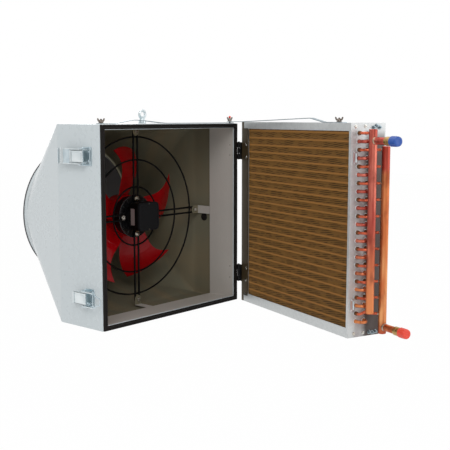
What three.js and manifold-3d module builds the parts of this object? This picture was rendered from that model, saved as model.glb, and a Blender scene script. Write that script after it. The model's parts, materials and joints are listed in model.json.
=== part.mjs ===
// A hot water fan heater that hangs from one eye: a square sheet box that narrows to a round outlet, a fan on
// a wire guard inside, and a finned coil that closes the front as a door. Millimetres, +Z up.
// Unit frame: x = 0 on the fan axis, y = 0 at the front of the box, z = 0 at its bottom; +y is the way air goes.
// The exported group is moved so that the hanging eye is the origin.
import * as THREE from "three";
import { mergeVertices } from "three/addons/utils/BufferGeometryUtils.js";
import Module from "manifold-3d";

const wasm = await Module();
wasm.setup();

// ---------- driving dimensions ----------
const fit = 0.3; // clearance between pieces that touch
const casing = { side: 650, depth: 206, sheet: 1.5, lip: 16.5, lap: 20 };
const outlet = { radius: 245, coneLength: 284, spigotLength: 18, sheet: 1.5 };
const liner = { inset: 9, depth: 123, sheet: 1.5, tongueWidth: 44, tabReach: 34 };
const gasket = { width: 12, thickness: 8, edgeInset: 5.5 };
const spoke = { wire: 3, pairGap: 19, boltRadius: casing.side / 2 - 27 };
const guard = { ringY: 192.3, ringWire: 2.5, rings: [spoke.boltRadius - 20, 198, 103], weld: 1.4 };
const motor = { flangeRadius: 76, flangeThick: 6, coreRadius: 48, coreLength: 48, studCircle: 62, studRadius: 4 };
const bearing = { outer: 13, inner: 6.3, width: 8, spacing: 32 };
const rotor = { outer: 68, wall: 14, length: 85, endWall: 4, shaftRadius: 6 };
const fan = { blades: 5, tipRadius: 243, hubWall: 3.5, hubLength: 56, midY: 258, pitch: 24, thickness: 2.4 };
const terminal = { width: 97, height: 106, depth: 41, coverDepth: 9.5, frontY: 121, neckRadius: 30 };
const damper = { rodRadius: 4, flapRadius: 236, sheet: 1.6, sleeveRadius: 6.5, sleeves: 5 };
const eye = { behindFront: 151, ring: 13, wire: 5, neckRadius: 8, baseRadius: 15, baseHeight: 9, height: 31.5 };
const grommet = { radius: 11, flange: 14, thickness: 3, y: casing.depth - 49, z: casing.side / 2 - 28 };
const strap = { width: 18, thickness: 2, bow: 11 };
const stud = { radius: 3, fromSide: 20, fromFront: 15, headRadius: 9, headThick: 1.6 };
const stay = { fromPipeSide: 90, fromFace: 22, slotHalf: 3.7, bandHalf: 10, flat: 80, bow: 13, drop: 64, tab: 25 };
const door = { openAngle: 70, extraOpen: 20, pivotOut: 11, pivotFront: 2, gap: 0.4 };
const coil = {
  length: casing.side - 5,
  thickness: 130,
  bottom: -2,
  top: casing.side + 4,
  sheet: 1.5,
  sideLip: 16,
  topLip: 24,
  bottomLip: 31,
};
const fins = { depth: 88, pocket: 46, headroom: 6, groovePitch: 34, grooveWidth: 6, grooveDepth: 9 };
const tubes = { pitch: 25, topRow: 30, bottomRoom: 20, columns: [28, 60], radius: 5, hingeBend: 16, plateBend: 26 };
const hinge = { fromEdge: 100, height: 62, leaf: 1.5, knuckle: 5, pin: 2, coilReach: 45, casingReach: 44 };
const latch = { fromEdge: 100, pivotY: 64, bailY: 70, axisOut: 13, bailOut: 7, halfWidth: 19, layer: 2.5, lever: 53 };
const bail = { reach: 97, rail: 6, lipStart: 79, lipDrop: 13 };
const header = { radius: 12.5, standOff: 45, feeder: 4.5 };
const supply = { at: 47, bottom: 62, top: coil.top - 18, stubZ: coil.top - 52 };
const returns = { at: 97, bottom: 12, top: coil.top - 69, stubZ: 34 };
const stub = { radius: 11, length: 61, ringLength: 24, ringRadius: 13.5, capRadius: 15.5, capLength: 36, capWall: 2.5 };
const keeper = { at: 13.5, width: 15, height: 40, thickness: 2, ridge: 2.2 };

// ---------- values worked out from them ----------
const half = casing.side / 2;
const middle = casing.side / 2;
const opening = half - casing.lip;
const outletStart = casing.depth + outlet.coneLength;
const outletEnd = outletStart + outlet.spigotLength;
const linerInner = half - liner.inset;
const spokeY = guard.ringY - guard.ringWire - spoke.wire + guard.weld;
const tabY = spokeY - spoke.wire - fit;
const flangeY = spokeY + spoke.wire + fit;
const coreEnd = flangeY + motor.flangeThick + motor.coreLength;
const rotorY = flangeY + motor.flangeThick + 3;
const pivot = new THREE.Vector2(half + door.pivotOut, -door.pivotFront);
const coilFace = -gasket.thickness - door.gap;
const coilEnd = half - coil.length;
const tubeRows = Math.floor((coil.top - coil.bottom - tubes.topRow - tubes.bottomRoom) / tubes.pitch);
const doorAngle = THREE.MathUtils.degToRad(door.openAngle);
const latchX = -half - latch.axisOut;
const eyeZ = casing.side + eye.height;

// ---------- solids ----------
const solidOf = (geometry) => {
  const bare = geometry.clone();
  bare.deleteAttribute("normal");
  bare.deleteAttribute("uv");
  const merged = mergeVertices(bare, 1e-4);
  const triVerts = new Uint32Array(merged.index.array);
  return new wasm.Manifold(
    new wasm.Mesh({ numProp: 3, vertProperties: merged.attributes.position.array, triVerts }),
  );
};

const geometryOf = (solid) => {
  const mesh = solid.getMesh();
  const geometry = new THREE.BufferGeometry();
  geometry.setAttribute("position", new THREE.BufferAttribute(mesh.vertProperties, 3));
  geometry.setIndex(new THREE.BufferAttribute(mesh.triVerts, 1));
  geometry.computeVertexNormals();
  return geometry;
};

const join = (...pieces) => geometryOf(pieces.map(solidOf).reduce((sum, piece) => sum.add(piece)));

const cut = (body, ...tools) => {
  const rest = tools.map(solidOf).reduce((left, tool) => left.subtract(tool), solidOf(body));
  return geometryOf(rest);
};

// A box between two corners.
const block = (x0, x1, y0, y1, z0, z1) =>
  new THREE.BoxGeometry(x1 - x0, y1 - y0, z1 - z0).translate((x0 + x1) / 2, (y0 + y1) / 2, (z0 + z1) / 2);

const inOrder = (a, b) => [Math.min(a, b), Math.max(a, b)];

// A square ring about the fan axis, between two half sides and two depths.
const squareRing = (outer, inner, y0, y1) =>
  cut(
    block(-outer, outer, y0, y1, middle - outer, middle + outer),
    block(-inner, inner, y0 - 1, y1 + 1, middle - inner, middle + inner),
  );

// Cylinders along each axis, from one place to another.
const rodZ = (radius, x, y, z0, z1, sides = 16) =>
  new THREE.CylinderGeometry(radius, radius, z1 - z0, sides).rotateX(Math.PI / 2).translate(x, y, (z0 + z1) / 2);
const rodY = (radius, x, z, y0, y1, sides = 16) =>
  new THREE.CylinderGeometry(radius, radius, y1 - y0, sides).translate(x, (y0 + y1) / 2, z);
const rodX = (radius, y, z, x0, x1, sides = 16) =>
  new THREE.CylinderGeometry(radius, radius, x1 - x0, sides).rotateZ(Math.PI / 2).translate((x0 + x1) / 2, y, z);

// A turned piece about the fan axis: points are [radius, y], in order round the section.
const turned = (points, sides = 32) => {
  const profile = points.map(([radius, y]) => new THREE.Vector2(radius, y));
  return outward(new THREE.LatheGeometry([...profile, profile[0]], sides)).translate(0, 0, middle);
};

// The same geometry with its faces turned outwards.
const outward = (geometry) => {
  const { position } = geometry.attributes;
  const index = geometry.index.array;
  const corner = [0, 1, 2].map(() => new THREE.Vector3());
  let volume = 0;
  for (let i = 0; i < index.length; i += 3) {
    corner.forEach((point, k) => point.fromBufferAttribute(position, index[i + k]));
    volume += corner[0].dot(corner[1].cross(corner[2]));
  }
  if (volume < 0) index.reverse();
  return geometry;
};

// A strip of sheet bent in the plane of x and z, with a width along y.
const bentStrip = (points, thickness, width) => {
  const shape = new THREE.Shape(points.map(([x, z]) => new THREE.Vector2(x, z)));
  [...points].reverse().forEach(([x, z]) => shape.lineTo(x, z + thickness));
  return new THREE.ExtrudeGeometry(shape, { depth: width, bevelEnabled: false })
    .rotateX(Math.PI / 2)
    .translate(0, width / 2, 0);
};

// A flat plate cut to a shape in x and y, between two heights.
const plate = (shape, z0, z1, curveSegments = 12) =>
  new THREE.ExtrudeGeometry(shape, { depth: z1 - z0, bevelEnabled: false, curveSegments }).translate(0, 0, z0);

// A round tube or wire along a curve.
const tubeAlong = (curve, radius, steps, sides) => {
  const section = new THREE.Shape();
  section.absarc(0, 0, radius, 0, 2 * Math.PI);
  const settings = { steps, extrudePath: curve, curveSegments: sides / 2 };
  return new THREE.ExtrudeGeometry(section, settings);
};

// A skin through rings of points; the last ring joins the first.
const skin = (rings) => {
  const count = rings[0].length;
  const points = rings.flat();
  const triangles = [];
  const add = (...corners) => {
    const [a, b, c] = corners.map((k) => points[k]);
    const flat = a.distanceTo(b) < 1e-6 || b.distanceTo(c) < 1e-6 || c.distanceTo(a) < 1e-6;
    if (!flat) triangles.push(...corners);
  };
  rings.forEach((ring, r) => {
    const next = (r + 1) % rings.length;
    for (let i = 0; i < count; i += 1) {
      const j = (i + 1) % count;
      add(r * count + i, r * count + j, next * count + j);
      add(r * count + i, next * count + j, next * count + i);
    }
  });
  const geometry = new THREE.BufferGeometry().setFromPoints(points);
  geometry.setIndex(new THREE.BufferAttribute(new Uint32Array(triangles), 1));
  geometry.deleteAttribute("normal");
  return outward(mergeVertices(geometry, 1e-4));
};

// ---------- materials ----------
const finish = (color, roughness, metalness) => new THREE.MeshStandardMaterial({ color, roughness, metalness });
const paint = finish(0xc8d0d2, 0.3, 0.1);
const linerGrey = finish(0x8a8580, 0.5, 0.3);
const blackRubber = finish(0x1e1a18, 0.9, 0);
const blackPaint = finish(0x15151a, 0.4, 0.2);
const redPlastic = finish(0xa00410, 0.35, 0);
const zinc = finish(0xc4ccd0, 0.3, 0.9);
const galvanised = finish(0xa9aba8, 0.45, 0.8);
const copper = finish(0xc8604a, 0.35, 0.9);
const finBrown = finish(0x6b4f2b, 0.5, 0.6);
const brass = finish(0xb09a60, 0.35, 0.9);
const steel = finish(0x8d9092, 0.35, 0.9);
const darkGrey = finish(0x3c3c3e, 0.6, 0.1);
const blueCap = finish(0x2a4f9a, 0.5, 0);
const redCap = finish(0xf05040, 0.5, 0);

const unit = new THREE.Group();
const place = (name, geometry, material, parent = unit) => {
  const mesh = new THREE.Mesh(geometry, material);
  mesh.name = name;
  parent.add(mesh);
  return mesh;
};

// ---------- casing ----------
const boxShell = () => {
  const walls = squareRing(half, half - casing.sheet, 0, casing.depth);
  const lip = squareRing(half, opening, 0, casing.sheet);
  const studHoles = [-1, 1].map((side) =>
    rodZ(stud.radius + fit, side * (half - stud.fromSide), stud.fromFront, casing.side - 5, casing.side + 5),
  );
  const cableHole = rodX(grommet.radius + fit, grommet.y, grommet.z, half - 5, half + 5);
  return cut(join(walls, lip), ...studHoles, cableHole);
};

// Rings of the transition: each corner of the square fans out to a quarter of the circle.
const coneRings = (halfSide, radius) => {
  const perQuarter = 10;
  const square = [];
  const circle = [];
  for (let quarter = 0; quarter < 4; quarter += 1) {
    const middleAngle = ((quarter + 0.5) * Math.PI) / 2;
    const corner = [Math.sign(Math.cos(middleAngle)) * halfSide, Math.sign(Math.sin(middleAngle)) * halfSide];
    for (let i = 0; i <= perQuarter; i += 1) {
      const angle = ((quarter + i / perQuarter) * Math.PI) / 2;
      square.push(corner);
      circle.push([radius * Math.cos(angle), radius * Math.sin(angle)]);
    }
  }
  return { square, circle };
};

const transitionShell = () => {
  const at = (ring, y) => ring.map(([x, z]) => new THREE.Vector3(x, y, middle + z));
  const outer = coneRings(half, outlet.radius);
  const lapOuter = half - casing.sheet - fit;
  const lap = coneRings(lapOuter, outlet.radius).square;
  const inner = coneRings(lapOuter - casing.sheet, outlet.radius - outlet.sheet);
  const front = casing.depth + fit;
  const lapEdge = casing.depth - casing.lap;
  return skin([
    at(lap, lapEdge),
    at(lap, front),
    at(outer.square, front),
    at(outer.circle, outletStart),
    at(outer.circle, outletEnd),
    at(inner.circle, outletEnd),
    at(inner.circle, outletStart),
    at(inner.square, front + casing.sheet),
    at(inner.square, lapEdge),
  ]);
};

// An edge trim of U section on the end of the outlet.
const outletTrim = () => {
  const outside = outlet.radius + 2.2;
  const inside = outlet.radius - outlet.sheet - 2;
  const grip = 6;
  return turned(
    [
      [outlet.radius + fit, outletEnd - grip],
      [outside, outletEnd - grip],
      [outside, outletEnd + 2],
      [inside, outletEnd + 2],
      [inside, outletEnd - grip],
      [outlet.radius - outlet.sheet - fit, outletEnd - grip],
      [outlet.radius - outlet.sheet - fit, outletEnd + fit],
      [outlet.radius + fit, outletEnd + fit],
    ],
    40,
  );
};

const innerLiner = () => {
  const front = casing.sheet + fit;
  const back = front + liner.sheet;
  const flange = squareRing(half - casing.sheet - fit, linerInner, front, back);
  const walls = squareRing(linerInner + liner.sheet, linerInner, front, tabY);
  // Behind its depth only a tongue in the middle of each wall goes on, to a tab that is turned inwards.
  const w = liner.tongueWidth / 2;
  const corners = [-1, 1].flatMap((right) =>
    [-1, 1].map((up) => {
      const x = inOrder(right * w, right * half);
      const z = inOrder(up * w, up * half);
      return block(...x, liner.depth, tabY + 1, middle + z[0], middle + z[1]);
    }),
  );
  const tabWidth = 0.7 * w;
  const tabs = [-1, 1].flatMap((side) => {
    const [a, b] = inOrder(side * (linerInner - liner.tabReach), side * (linerInner + liner.sheet / 2));
    return [
      block(a, b, tabY - liner.sheet, tabY, middle - tabWidth, middle + tabWidth),
      block(-tabWidth, tabWidth, tabY - liner.sheet, tabY, middle + a, middle + b),
    ];
  });
  const holes = [-1, 1].flatMap((side) => [
    rodY(4.5, side * spoke.boltRadius, middle, tabY - 5, tabY + 5, 12),
    rodY(4.5, 0, middle + side * spoke.boltRadius, tabY - 5, tabY + 5, 12),
  ]);
  return cut(join(flange, cut(walls, ...corners), ...tabs), ...holes);
};

const doorGasket = () => {
  const outer = half - gasket.edgeInset;
  const ring = squareRing(outer, outer - gasket.width, -gasket.thickness, -fit);
  const notchDepth = hinge.leaf + 2 * fit;
  const notches = [-1, 1].map((side) => {
    const z = middle + side * (half - hinge.fromEdge);
    const reach = hinge.height / 2 + 1;
    const front = -gasket.thickness;
    return block(half - 25, half + 1, front - 1, front + notchDepth, z - reach, z + reach);
  });
  return cut(ring, ...notches);
};

place("box_shell", boxShell(), paint);
place("transition_shell", transitionShell(), paint);
place("outlet_trim", outletTrim(), blackRubber);
place("inner_liner", innerLiner(), linerGrey);
place("door_gasket", doorGasket(), blackRubber);

// ---------- guard, motor and fan ----------
const fanGuard = () => {
  const ring = (radius) =>
    new THREE.TorusGeometry(radius, guard.ringWire, 4, 36).rotateX(Math.PI / 2).translate(0, guard.ringY, middle);
  const eyelet = (radius) =>
    new THREE.TorusGeometry(spoke.pairGap / 2, spoke.wire, 4, 10)
      .rotateX(Math.PI / 2)
      .translate(radius, spokeY, 0);
  const arm = () =>
    join(
      eyelet(motor.studCircle),
      eyelet(spoke.boltRadius),
      ...[-1, 1].map((side) =>
        rodX(spoke.wire, spokeY, (side * spoke.pairGap) / 2, motor.studCircle, spoke.boltRadius, 6),
      ),
    );
  const arms = [0, 1, 2, 3].map((k) => arm().rotateY((k * Math.PI) / 2).translate(0, 0, middle));
  return join(...guard.rings.map(ring), ...arms);
};

// A bolt through a tongue and the eyelet behind it, with its washer and nut.
const guardBolt = () => {
  const shank = rodY(4, 0, 0, tabY - 2, flangeY + 8, 12);
  const head = rodY(7.5, 0, 0, tabY - liner.sheet - fit - 5, tabY - liner.sheet - fit, 6);
  const neck = rodY(4, 0, 0, tabY - liner.sheet - 2, tabY, 12);
  const washer = rodY(11, 0, 0, flangeY, flangeY + 1.6, 16);
  const nut = rodY(7.5, 0, 0, flangeY + 1.6, flangeY + 8, 6);
  return join(shank, head, neck, washer, nut);
};

place("fan_guard", fanGuard(), blackPaint);
["right", "bottom", "left", "top"].forEach((side, k) => {
  const angle = (-k * Math.PI) / 2;
  const x = spoke.boltRadius * Math.cos(angle);
  const z = spoke.boltRadius * Math.sin(angle);
  place("guard_bolt_" + side, guardBolt(), steel).position.set(x, 0, middle + z);
});

const motorStator = () => {
  const bore = bearing.outer + fit;
  const body = turned([
    [0, flangeY],
    [motor.flangeRadius, flangeY],
    [motor.flangeRadius, flangeY + motor.flangeThick],
    [motor.coreRadius, flangeY + motor.flangeThick],
    [motor.coreRadius, coreEnd],
    [bore, coreEnd],
    [bore, flangeY + motor.flangeThick - 2],
    [0, flangeY + motor.flangeThick - 2],
  ]);
  const studs = [0, 1, 2, 3].map((k) => {
    const angle = (k * Math.PI) / 2;
    const x = motor.studCircle * Math.cos(angle);
    const z = middle + motor.studCircle * Math.sin(angle);
    const front = spokeY - spoke.wire - fit;
    return join(
      rodY(motor.studRadius, x, z, front - 1, flangeY + 1, 10),
      rodY(10, x, z, front - 1.6, front, 14),
      rodY(6.5, x, z, front - 7, front - 1, 6),
    );
  });
  return join(body, ...studs);
};

const bearingRing = () =>
  turned(
    [
      [bearing.inner, 0],
      [bearing.outer, 0],
      [bearing.outer, bearing.width],
      [bearing.inner, bearing.width],
    ],
    20,
  );

const terminalBack = terminal.frontY + terminal.coverDepth + terminal.depth;
const terminalBox = () => {
  const w = terminal.width / 2 - 1;
  const h = terminal.height / 2 - 1;
  const front = terminal.frontY + terminal.coverDepth + fit;
  const shell = cut(
    block(-w, w, front, terminalBack, middle - h, middle + h),
    block(-w + 3, w - 3, front - 1, terminalBack - 3, middle - h + 3, middle + h - 3),
  );
  return join(shell, rodY(terminal.neckRadius, 0, middle, terminalBack - 1, flangeY - fit, 20));
};

const terminalCover = () => {
  const w = terminal.width / 2;
  const h = terminal.height / 2;
  const { frontY, coverDepth } = terminal;
  const lid = block(-w, w, frontY, frontY + coverDepth, middle - h, middle + h);
  return cut(lid, block(-w + 4, w - 4, frontY + 3, frontY + coverDepth + 1, middle - h + 4, middle + h - 4));
};

place("motor_stator", motorStator(), blackPaint);
place("terminal_box", terminalBox(), blackPaint);
place("terminal_box_cover", terminalCover(), blackPaint);
place("front_bearing", bearingRing(), steel).position.y = rotorY;
place("rear_bearing", bearingRing(), steel).position.y = rotorY + bearing.spacing;

const rotorBack = rotorY + rotor.length;
const rotorCup = () =>
  turned([
    [rotor.shaftRadius + fit, rotorBack - rotor.endWall],
    [rotor.outer - rotor.wall, rotorBack - rotor.endWall],
    [rotor.outer - rotor.wall, rotorY],
    [rotor.outer, rotorY],
    [rotor.outer, rotorBack],
    [rotor.shaftRadius + fit, rotorBack],
  ]);

const rotorShaft = () =>
  turned(
    [
      [0, rotorY - 2],
      [rotor.shaftRadius, rotorY - 2],
      [rotor.shaftRadius, rotorBack + fit],
      [rotor.shaftRadius + 3, rotorBack + fit],
      [rotor.shaftRadius + 3, rotorBack + 3],
      [0, rotorBack + 3],
    ],
    20,
  );

// One sickle blade: at each radius its chord spans an arc, and its surface climbs along the axis by its pitch.
const bladeAt = (phase) => {
  const root = rotor.outer + fit + fan.hubWall - 1;
  const spans = 6;
  const chords = 5;
  const climb = Math.tan(THREE.MathUtils.degToRad(fan.pitch));
  const faces = [-1, 1].map((face) => {
    const rows = [];
    for (let i = 0; i <= spans; i += 1) {
      const t = i / spans;
      const radius = root + t * (fan.tipRadius - root);
      const width = 60 - 19 * t - 8 * Math.sin(Math.PI * t);
      const centre = phase - 10 * Math.sin(Math.PI * t);
      for (let j = 0; j <= chords; j += 1) {
        const turn = (0.5 - j / chords) * width;
        const angle = THREE.MathUtils.degToRad(centre + turn);
        const arc = THREE.MathUtils.degToRad(turn) * radius;
        const crown = face * (fan.thickness / 2) * (1 - 0.7 * (2 * j / chords - 1) ** 2);
        const y = fan.midY - arc * climb + crown;
        rows.push(new THREE.Vector3(radius * Math.cos(angle), y, middle + radius * Math.sin(angle)));
      }
    }
    return rows;
  });
  const across = chords + 1;
  const rim = [];
  for (let j = 0; j < chords; j += 1) rim.push([0, j]);
  for (let i = 0; i < spans; i += 1) rim.push([i, chords]);
  for (let j = chords; j > 0; j -= 1) rim.push([spans, j]);
  for (let i = spans; i > 0; i -= 1) rim.push([i, 0]);
  const points = faces.flat();
  const size = faces[0].length;
  const triangles = [];
  const quad = (a, b, c, d) => triangles.push(a, b, c, a, c, d);
  for (let i = 0; i < spans; i += 1) {
    for (let j = 0; j < chords; j += 1) {
      const k = i * across + j;
      quad(k, k + 1, k + across + 1, k + across);
      quad(size + k, size + k + across, size + k + across + 1, size + k + 1);
    }
  }
  rim.forEach(([i, j], n) => {
    const [nextI, nextJ] = rim[(n + 1) % rim.length];
    const a = i * across + j;
    const b = nextI * across + nextJ;
    quad(a, size + a, size + b, b);
  });
  const geometry = new THREE.BufferGeometry().setFromPoints(points);
  geometry.setIndex(new THREE.BufferAttribute(new Uint32Array(triangles), 1));
  return outward(geometry);
};

const topBladeAngle = 87;
const fanWheel = () => {
  const inner = rotor.outer + fit;
  const outer = inner + fan.hubWall;
  const front = fan.midY - fan.hubLength / 2;
  const back = front + fan.hubLength;
  const hub = turned([
    [inner, front],
    [outer, front],
    [outer, back],
    [inner, back],
  ]);
  const blades = Array.from({ length: fan.blades }, (_, k) => bladeAt(topBladeAngle + (k * 360) / fan.blades));
  return join(hub, ...blades);
};

place("rotor_cup", rotorCup(), blackPaint);
place("rotor_shaft", rotorShaft(), steel);
place("fan_wheel", fanWheel(), redPlastic);

// ---------- back draught flaps in the outlet ----------
const rodPlaceY = outletStart + damper.rodRadius + 2;
const rodHalf = outlet.radius - outlet.sheet - fit;
place(
  "damper_rod",
  rodZ(damper.rodRadius, 0, rodPlaceY, middle - rodHalf, middle + rodHalf),
  steel,
);

const flap = (side) => {
  const shape = new THREE.Shape();
  const start = Math.acos((damper.sleeveRadius - 1) / damper.flapRadius);
  shape.absarc(0, 0, damper.flapRadius, -start, start);
  const leaf = new THREE.ExtrudeGeometry(shape, { depth: damper.sheet, bevelEnabled: false, curveSegments: 24 })
    .translate(0, 0, -damper.sheet / 2)
    .rotateX(Math.PI / 2);
  const pitch = (2 * damper.flapRadius * 0.94) / damper.sleeves;
  const bottom = -damper.flapRadius * 0.94;
  const own = (k) => k % 2 === (side > 0 ? 0 : 1);
  const pieces = [leaf];
  const bites = [rodZ(damper.rodRadius + fit, 0, 0, -damper.flapRadius, damper.flapRadius)];
  for (let k = 0; k < damper.sleeves; k += 1) {
    const z0 = bottom + k * pitch + 1;
    const z1 = bottom + (k + 1) * pitch - 1;
    if (own(k)) pieces.push(rodZ(damper.sleeveRadius, 0, 0, z0, z1, 12));
    else bites.push(rodZ(damper.sleeveRadius + 1.5, 0, 0, z0 - 2, z1 + 2, 12));
  }
  const leafAndSleeves = cut(join(...pieces), ...bites);
  return side > 0 ? leafAndSleeves : leafAndSleeves.rotateZ(Math.PI);
};
place("right_flap", flap(1), darkGrey).position.set(0, rodPlaceY, middle);
place("left_flap", flap(-1), darkGrey).position.set(0, rodPlaceY, middle);

// ---------- cable grommet, hanging eye, studs and top strap ----------
const cableGrommet = () => {
  const inner = half - casing.sheet - fit;
  const outer = half + fit;
  return join(
    rodX(grommet.radius, 0, 0, inner - 1, outer + 1),
    rodX(grommet.flange, 0, 0, inner - grommet.thickness, inner),
    rodX(grommet.flange, 0, 0, outer, outer + grommet.thickness),
  );
};
place("cable_grommet", cableGrommet(), blackRubber).position.set(0, grommet.y, grommet.z);

// The eye: a welded ring on a neck and a round foot.
const hangingEye = () => {
  const foot = casing.side + fit;
  return join(
    new THREE.TorusGeometry(eye.ring, eye.wire, 8, 20).rotateX(Math.PI / 2).translate(0, 0, eyeZ),
    rodZ(eye.neckRadius, 0, 0, foot, eyeZ - eye.ring, 16),
    rodZ(eye.baseRadius, 0, 0, foot, foot + eye.baseHeight, 20),
  );
};

place("hanging_eye", hangingEye(), zinc).position.y = eye.behindFront;

// A stud with its head under the sheet, for a wing nut.
const wingStud = (height) =>
  join(
    rodZ(stud.headRadius, 0, 0, -casing.sheet - fit - stud.headThick, -casing.sheet - fit, 12),
    rodZ(stud.radius, 0, 0, -casing.sheet - fit - 1, height, 12),
  );

// A wing nut with its washer under it, and two ears.
const wingNut = (foot) => {
  const bore = stud.radius + fit;
  const ear = new THREE.Shape();
  ear.moveTo(3.6, 0.5);
  ear.lineTo(7, 1);
  ear.quadraticCurveTo(14, 5, 15, 13);
  ear.quadraticCurveTo(13, 16, 10.5, 14);
  ear.quadraticCurveTo(9, 8, 4.2, 7.5);
  ear.closePath();
  const ears = [0, Math.PI].map((turn) =>
    new THREE.ExtrudeGeometry(ear, { depth: 2.6, bevelEnabled: false, curveSegments: 4 })
      .translate(0, 0, -1.3)
      .rotateX(Math.PI / 2)
      .rotateZ(turn)
      .translate(0, 0, foot + 1.6),
  );
  const body = join(
    rodZ(stud.headRadius, 0, 0, foot, foot + 1.6, 16),
    new THREE.CylinderGeometry(4.6, 6.5, 9, 12).rotateX(Math.PI / 2).translate(0, 0, foot + 5.6),
    ...ears,
  );
  return cut(body, rodZ(bore, 0, 0, foot - 5, foot + 30, 12));
};

const studX = half - stud.fromSide;
const topStrap = () => {
  const end = half - 2;
  const z = casing.side + fit;
  const span = 2 * studX;
  const points = [
    [-end, z],
    [studX - 0.925 * span, z],
    [studX - 0.777 * span, z + strap.bow],
    [studX - 0.515 * span, z],
    [end, z],
  ];
  const strip = bentStrip(points, strap.thickness, strap.width).translate(0, stud.fromFront, 0);
  const holes = [-1, 1].map((side) =>
    rodZ(stud.radius + fit, side * studX, stud.fromFront, z - 5, z + 10, 12),
  );
  return cut(strip, ...holes);
};
place("top_strap", topStrap(), zinc);

const strapTop = casing.side + fit + strap.thickness;
const stayTop = coil.top + fit + strap.thickness;
const leftStud = place("left_stud", wingStud(24), steel);
leftStud.position.set(-studX, stud.fromFront, casing.side);
const rightStud = place("right_stud", wingStud(28), steel);
rightStud.position.set(studX, stud.fromFront, casing.side);
const leftNut = place("left_wing_nut", wingNut(0), steel);
leftNut.position.set(-studX, stud.fromFront, strapTop + fit);
const rightNut = place("right_wing_nut", wingNut(0), steel);
rightNut.position.set(studX, stud.fromFront, stayTop + fit);

// ---------- toggle latches on the left side ----------
const latchZ = { upper: casing.side - latch.fromEdge, lower: latch.fromEdge };
const layers = [0, 1, 2].map((k) => latch.halfWidth + k * (latch.layer + fit));

// The latch pieces are drawn about the lever axis: x = 0 and y = 0 there, the wall at x = axisOut.
const latchBase = () => {
  const wall = latch.axisOut - fit;
  const ear = layers[2];
  const earOuter = ear + latch.layer;
  const back = latch.bailY - latch.pivotY + 8;
  const foot = block(wall - 2, wall, -26, back + 6, -earOuter, earOuter);
  const ears = [
    block(-latch.bailOut - 4, wall - 1, -8, back, -earOuter, -ear),
    block(-latch.bailOut - 4, wall - 1, -8, back, ear, earOuter),
  ];
  const bosses = [
    rodZ(2.6, 0, 0, -earOuter - 2, -ear + 0.5, 10),
    rodZ(2.6, 0, 0, ear - 0.5, earOuter + 2, 10),
  ];
  const leverPin = rodZ(2, 0, 0, -ear - 1, ear + 1, 10);
  const bailPins = [-1, 1].map((side) =>
    rodZ(1.8, -latch.bailOut, latch.bailY - latch.pivotY, ...inOrder(side * layers[1], side * (ear + 1)), 8),
  );
  const rivets = [-14, 14].map((z) => rodX(3, -11, z, wall - 3.4, wall - 1, 10));
  return join(foot, ...ears, ...bosses, leverPin, ...bailPins, ...rivets);
};

const latchLever = () => {
  const w = latch.halfWidth - fit;
  const web = block(-8.5, -7, -7, latch.lever - 4, -w, w);
  const cheeks = [-1, 1].map((side) => {
    const [z0] = inOrder(side * w, side * (w - 1.5));
    const cheek = new THREE.Shape();
    cheek.moveTo(-8.5, -7);
    cheek.lineTo(-8.5, latch.lever - 4);
    cheek.lineTo(-3, latch.lever - 4);
    cheek.lineTo(5, 8);
    cheek.lineTo(5, -5);
    cheek.lineTo(2, -7);
    cheek.closePath();
    return plate(cheek, z0, z0 + 1.5);
  });
  const lip = block(-11.5, -7, latch.lever - 5.5, latch.lever, -w, w);
  return cut(join(web, ...cheeks, lip), rodZ(2 + fit, 0, 0, -w - 5, w + 5, 10));
};

// Two rails from the bail pins to a curved lip that drops towards the wall.
const latchBail = () => {
  const inner = layers[1];
  const outer = inner + latch.layer;
  const r = bail.rail / 2;
  const rails = [-1, 1].map((side) => {
    const [z0] = inOrder(side * inner, side * outer);
    const rail = new THREE.Shape();
    rail.absarc(0, 0, r + 1.6, 0, Math.PI, false);
    rail.lineTo(-r, -bail.lipStart - 4);
    rail.lineTo(r, -bail.lipStart - 4);
    rail.closePath();
    return plate(rail, z0, z0 + latch.layer, 6);
  });
  const lip = new THREE.Shape();
  lip.moveTo(-r, -bail.lipStart);
  lip.quadraticCurveTo(-r, -bail.reach, bail.lipDrop - r + 1, -bail.reach);
  lip.lineTo(bail.lipDrop, -bail.reach + 5);
  lip.quadraticCurveTo(0, -bail.reach + 5, -r + 2, -bail.lipStart);
  lip.closePath();
  const body = join(...rails, plate(lip, -outer, outer, 6));
  return cut(body, rodZ(1.8 + fit, 0, 0, -outer - 5, outer + 5, 8));
};

Object.entries(latchZ).forEach(([which, z]) => {
  place(which + "_latch_base", latchBase(), zinc).position.set(latchX, latch.pivotY, z);
  place(which + "_latch_lever", latchLever(), zinc).position.set(latchX, latch.pivotY, z);
  const hook = place(which + "_latch_bail", latchBail(), zinc);
  hook.position.set(latchX - latch.bailOut, latch.bailY, z);
  hook.rotation.z = which === "upper" ? Math.PI : 0;
});

// ---------- hinges ----------
// The door group turns about the hinge axis; its pieces are drawn where they lie when the door is shut.
const turn = new THREE.Group();
turn.position.set(pivot.x, pivot.y, 0);
turn.rotation.z = doorAngle;
unit.add(turn);
const shut = new THREE.Group();
shut.position.set(-pivot.x, -pivot.y, 0);
turn.add(shut);

const hingeZ = { upper: casing.side - hinge.fromEdge, lower: hinge.fromEdge };
const third = hinge.height / 3;
const hingePlateEnd = pivot.x - hinge.knuckle;

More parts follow.
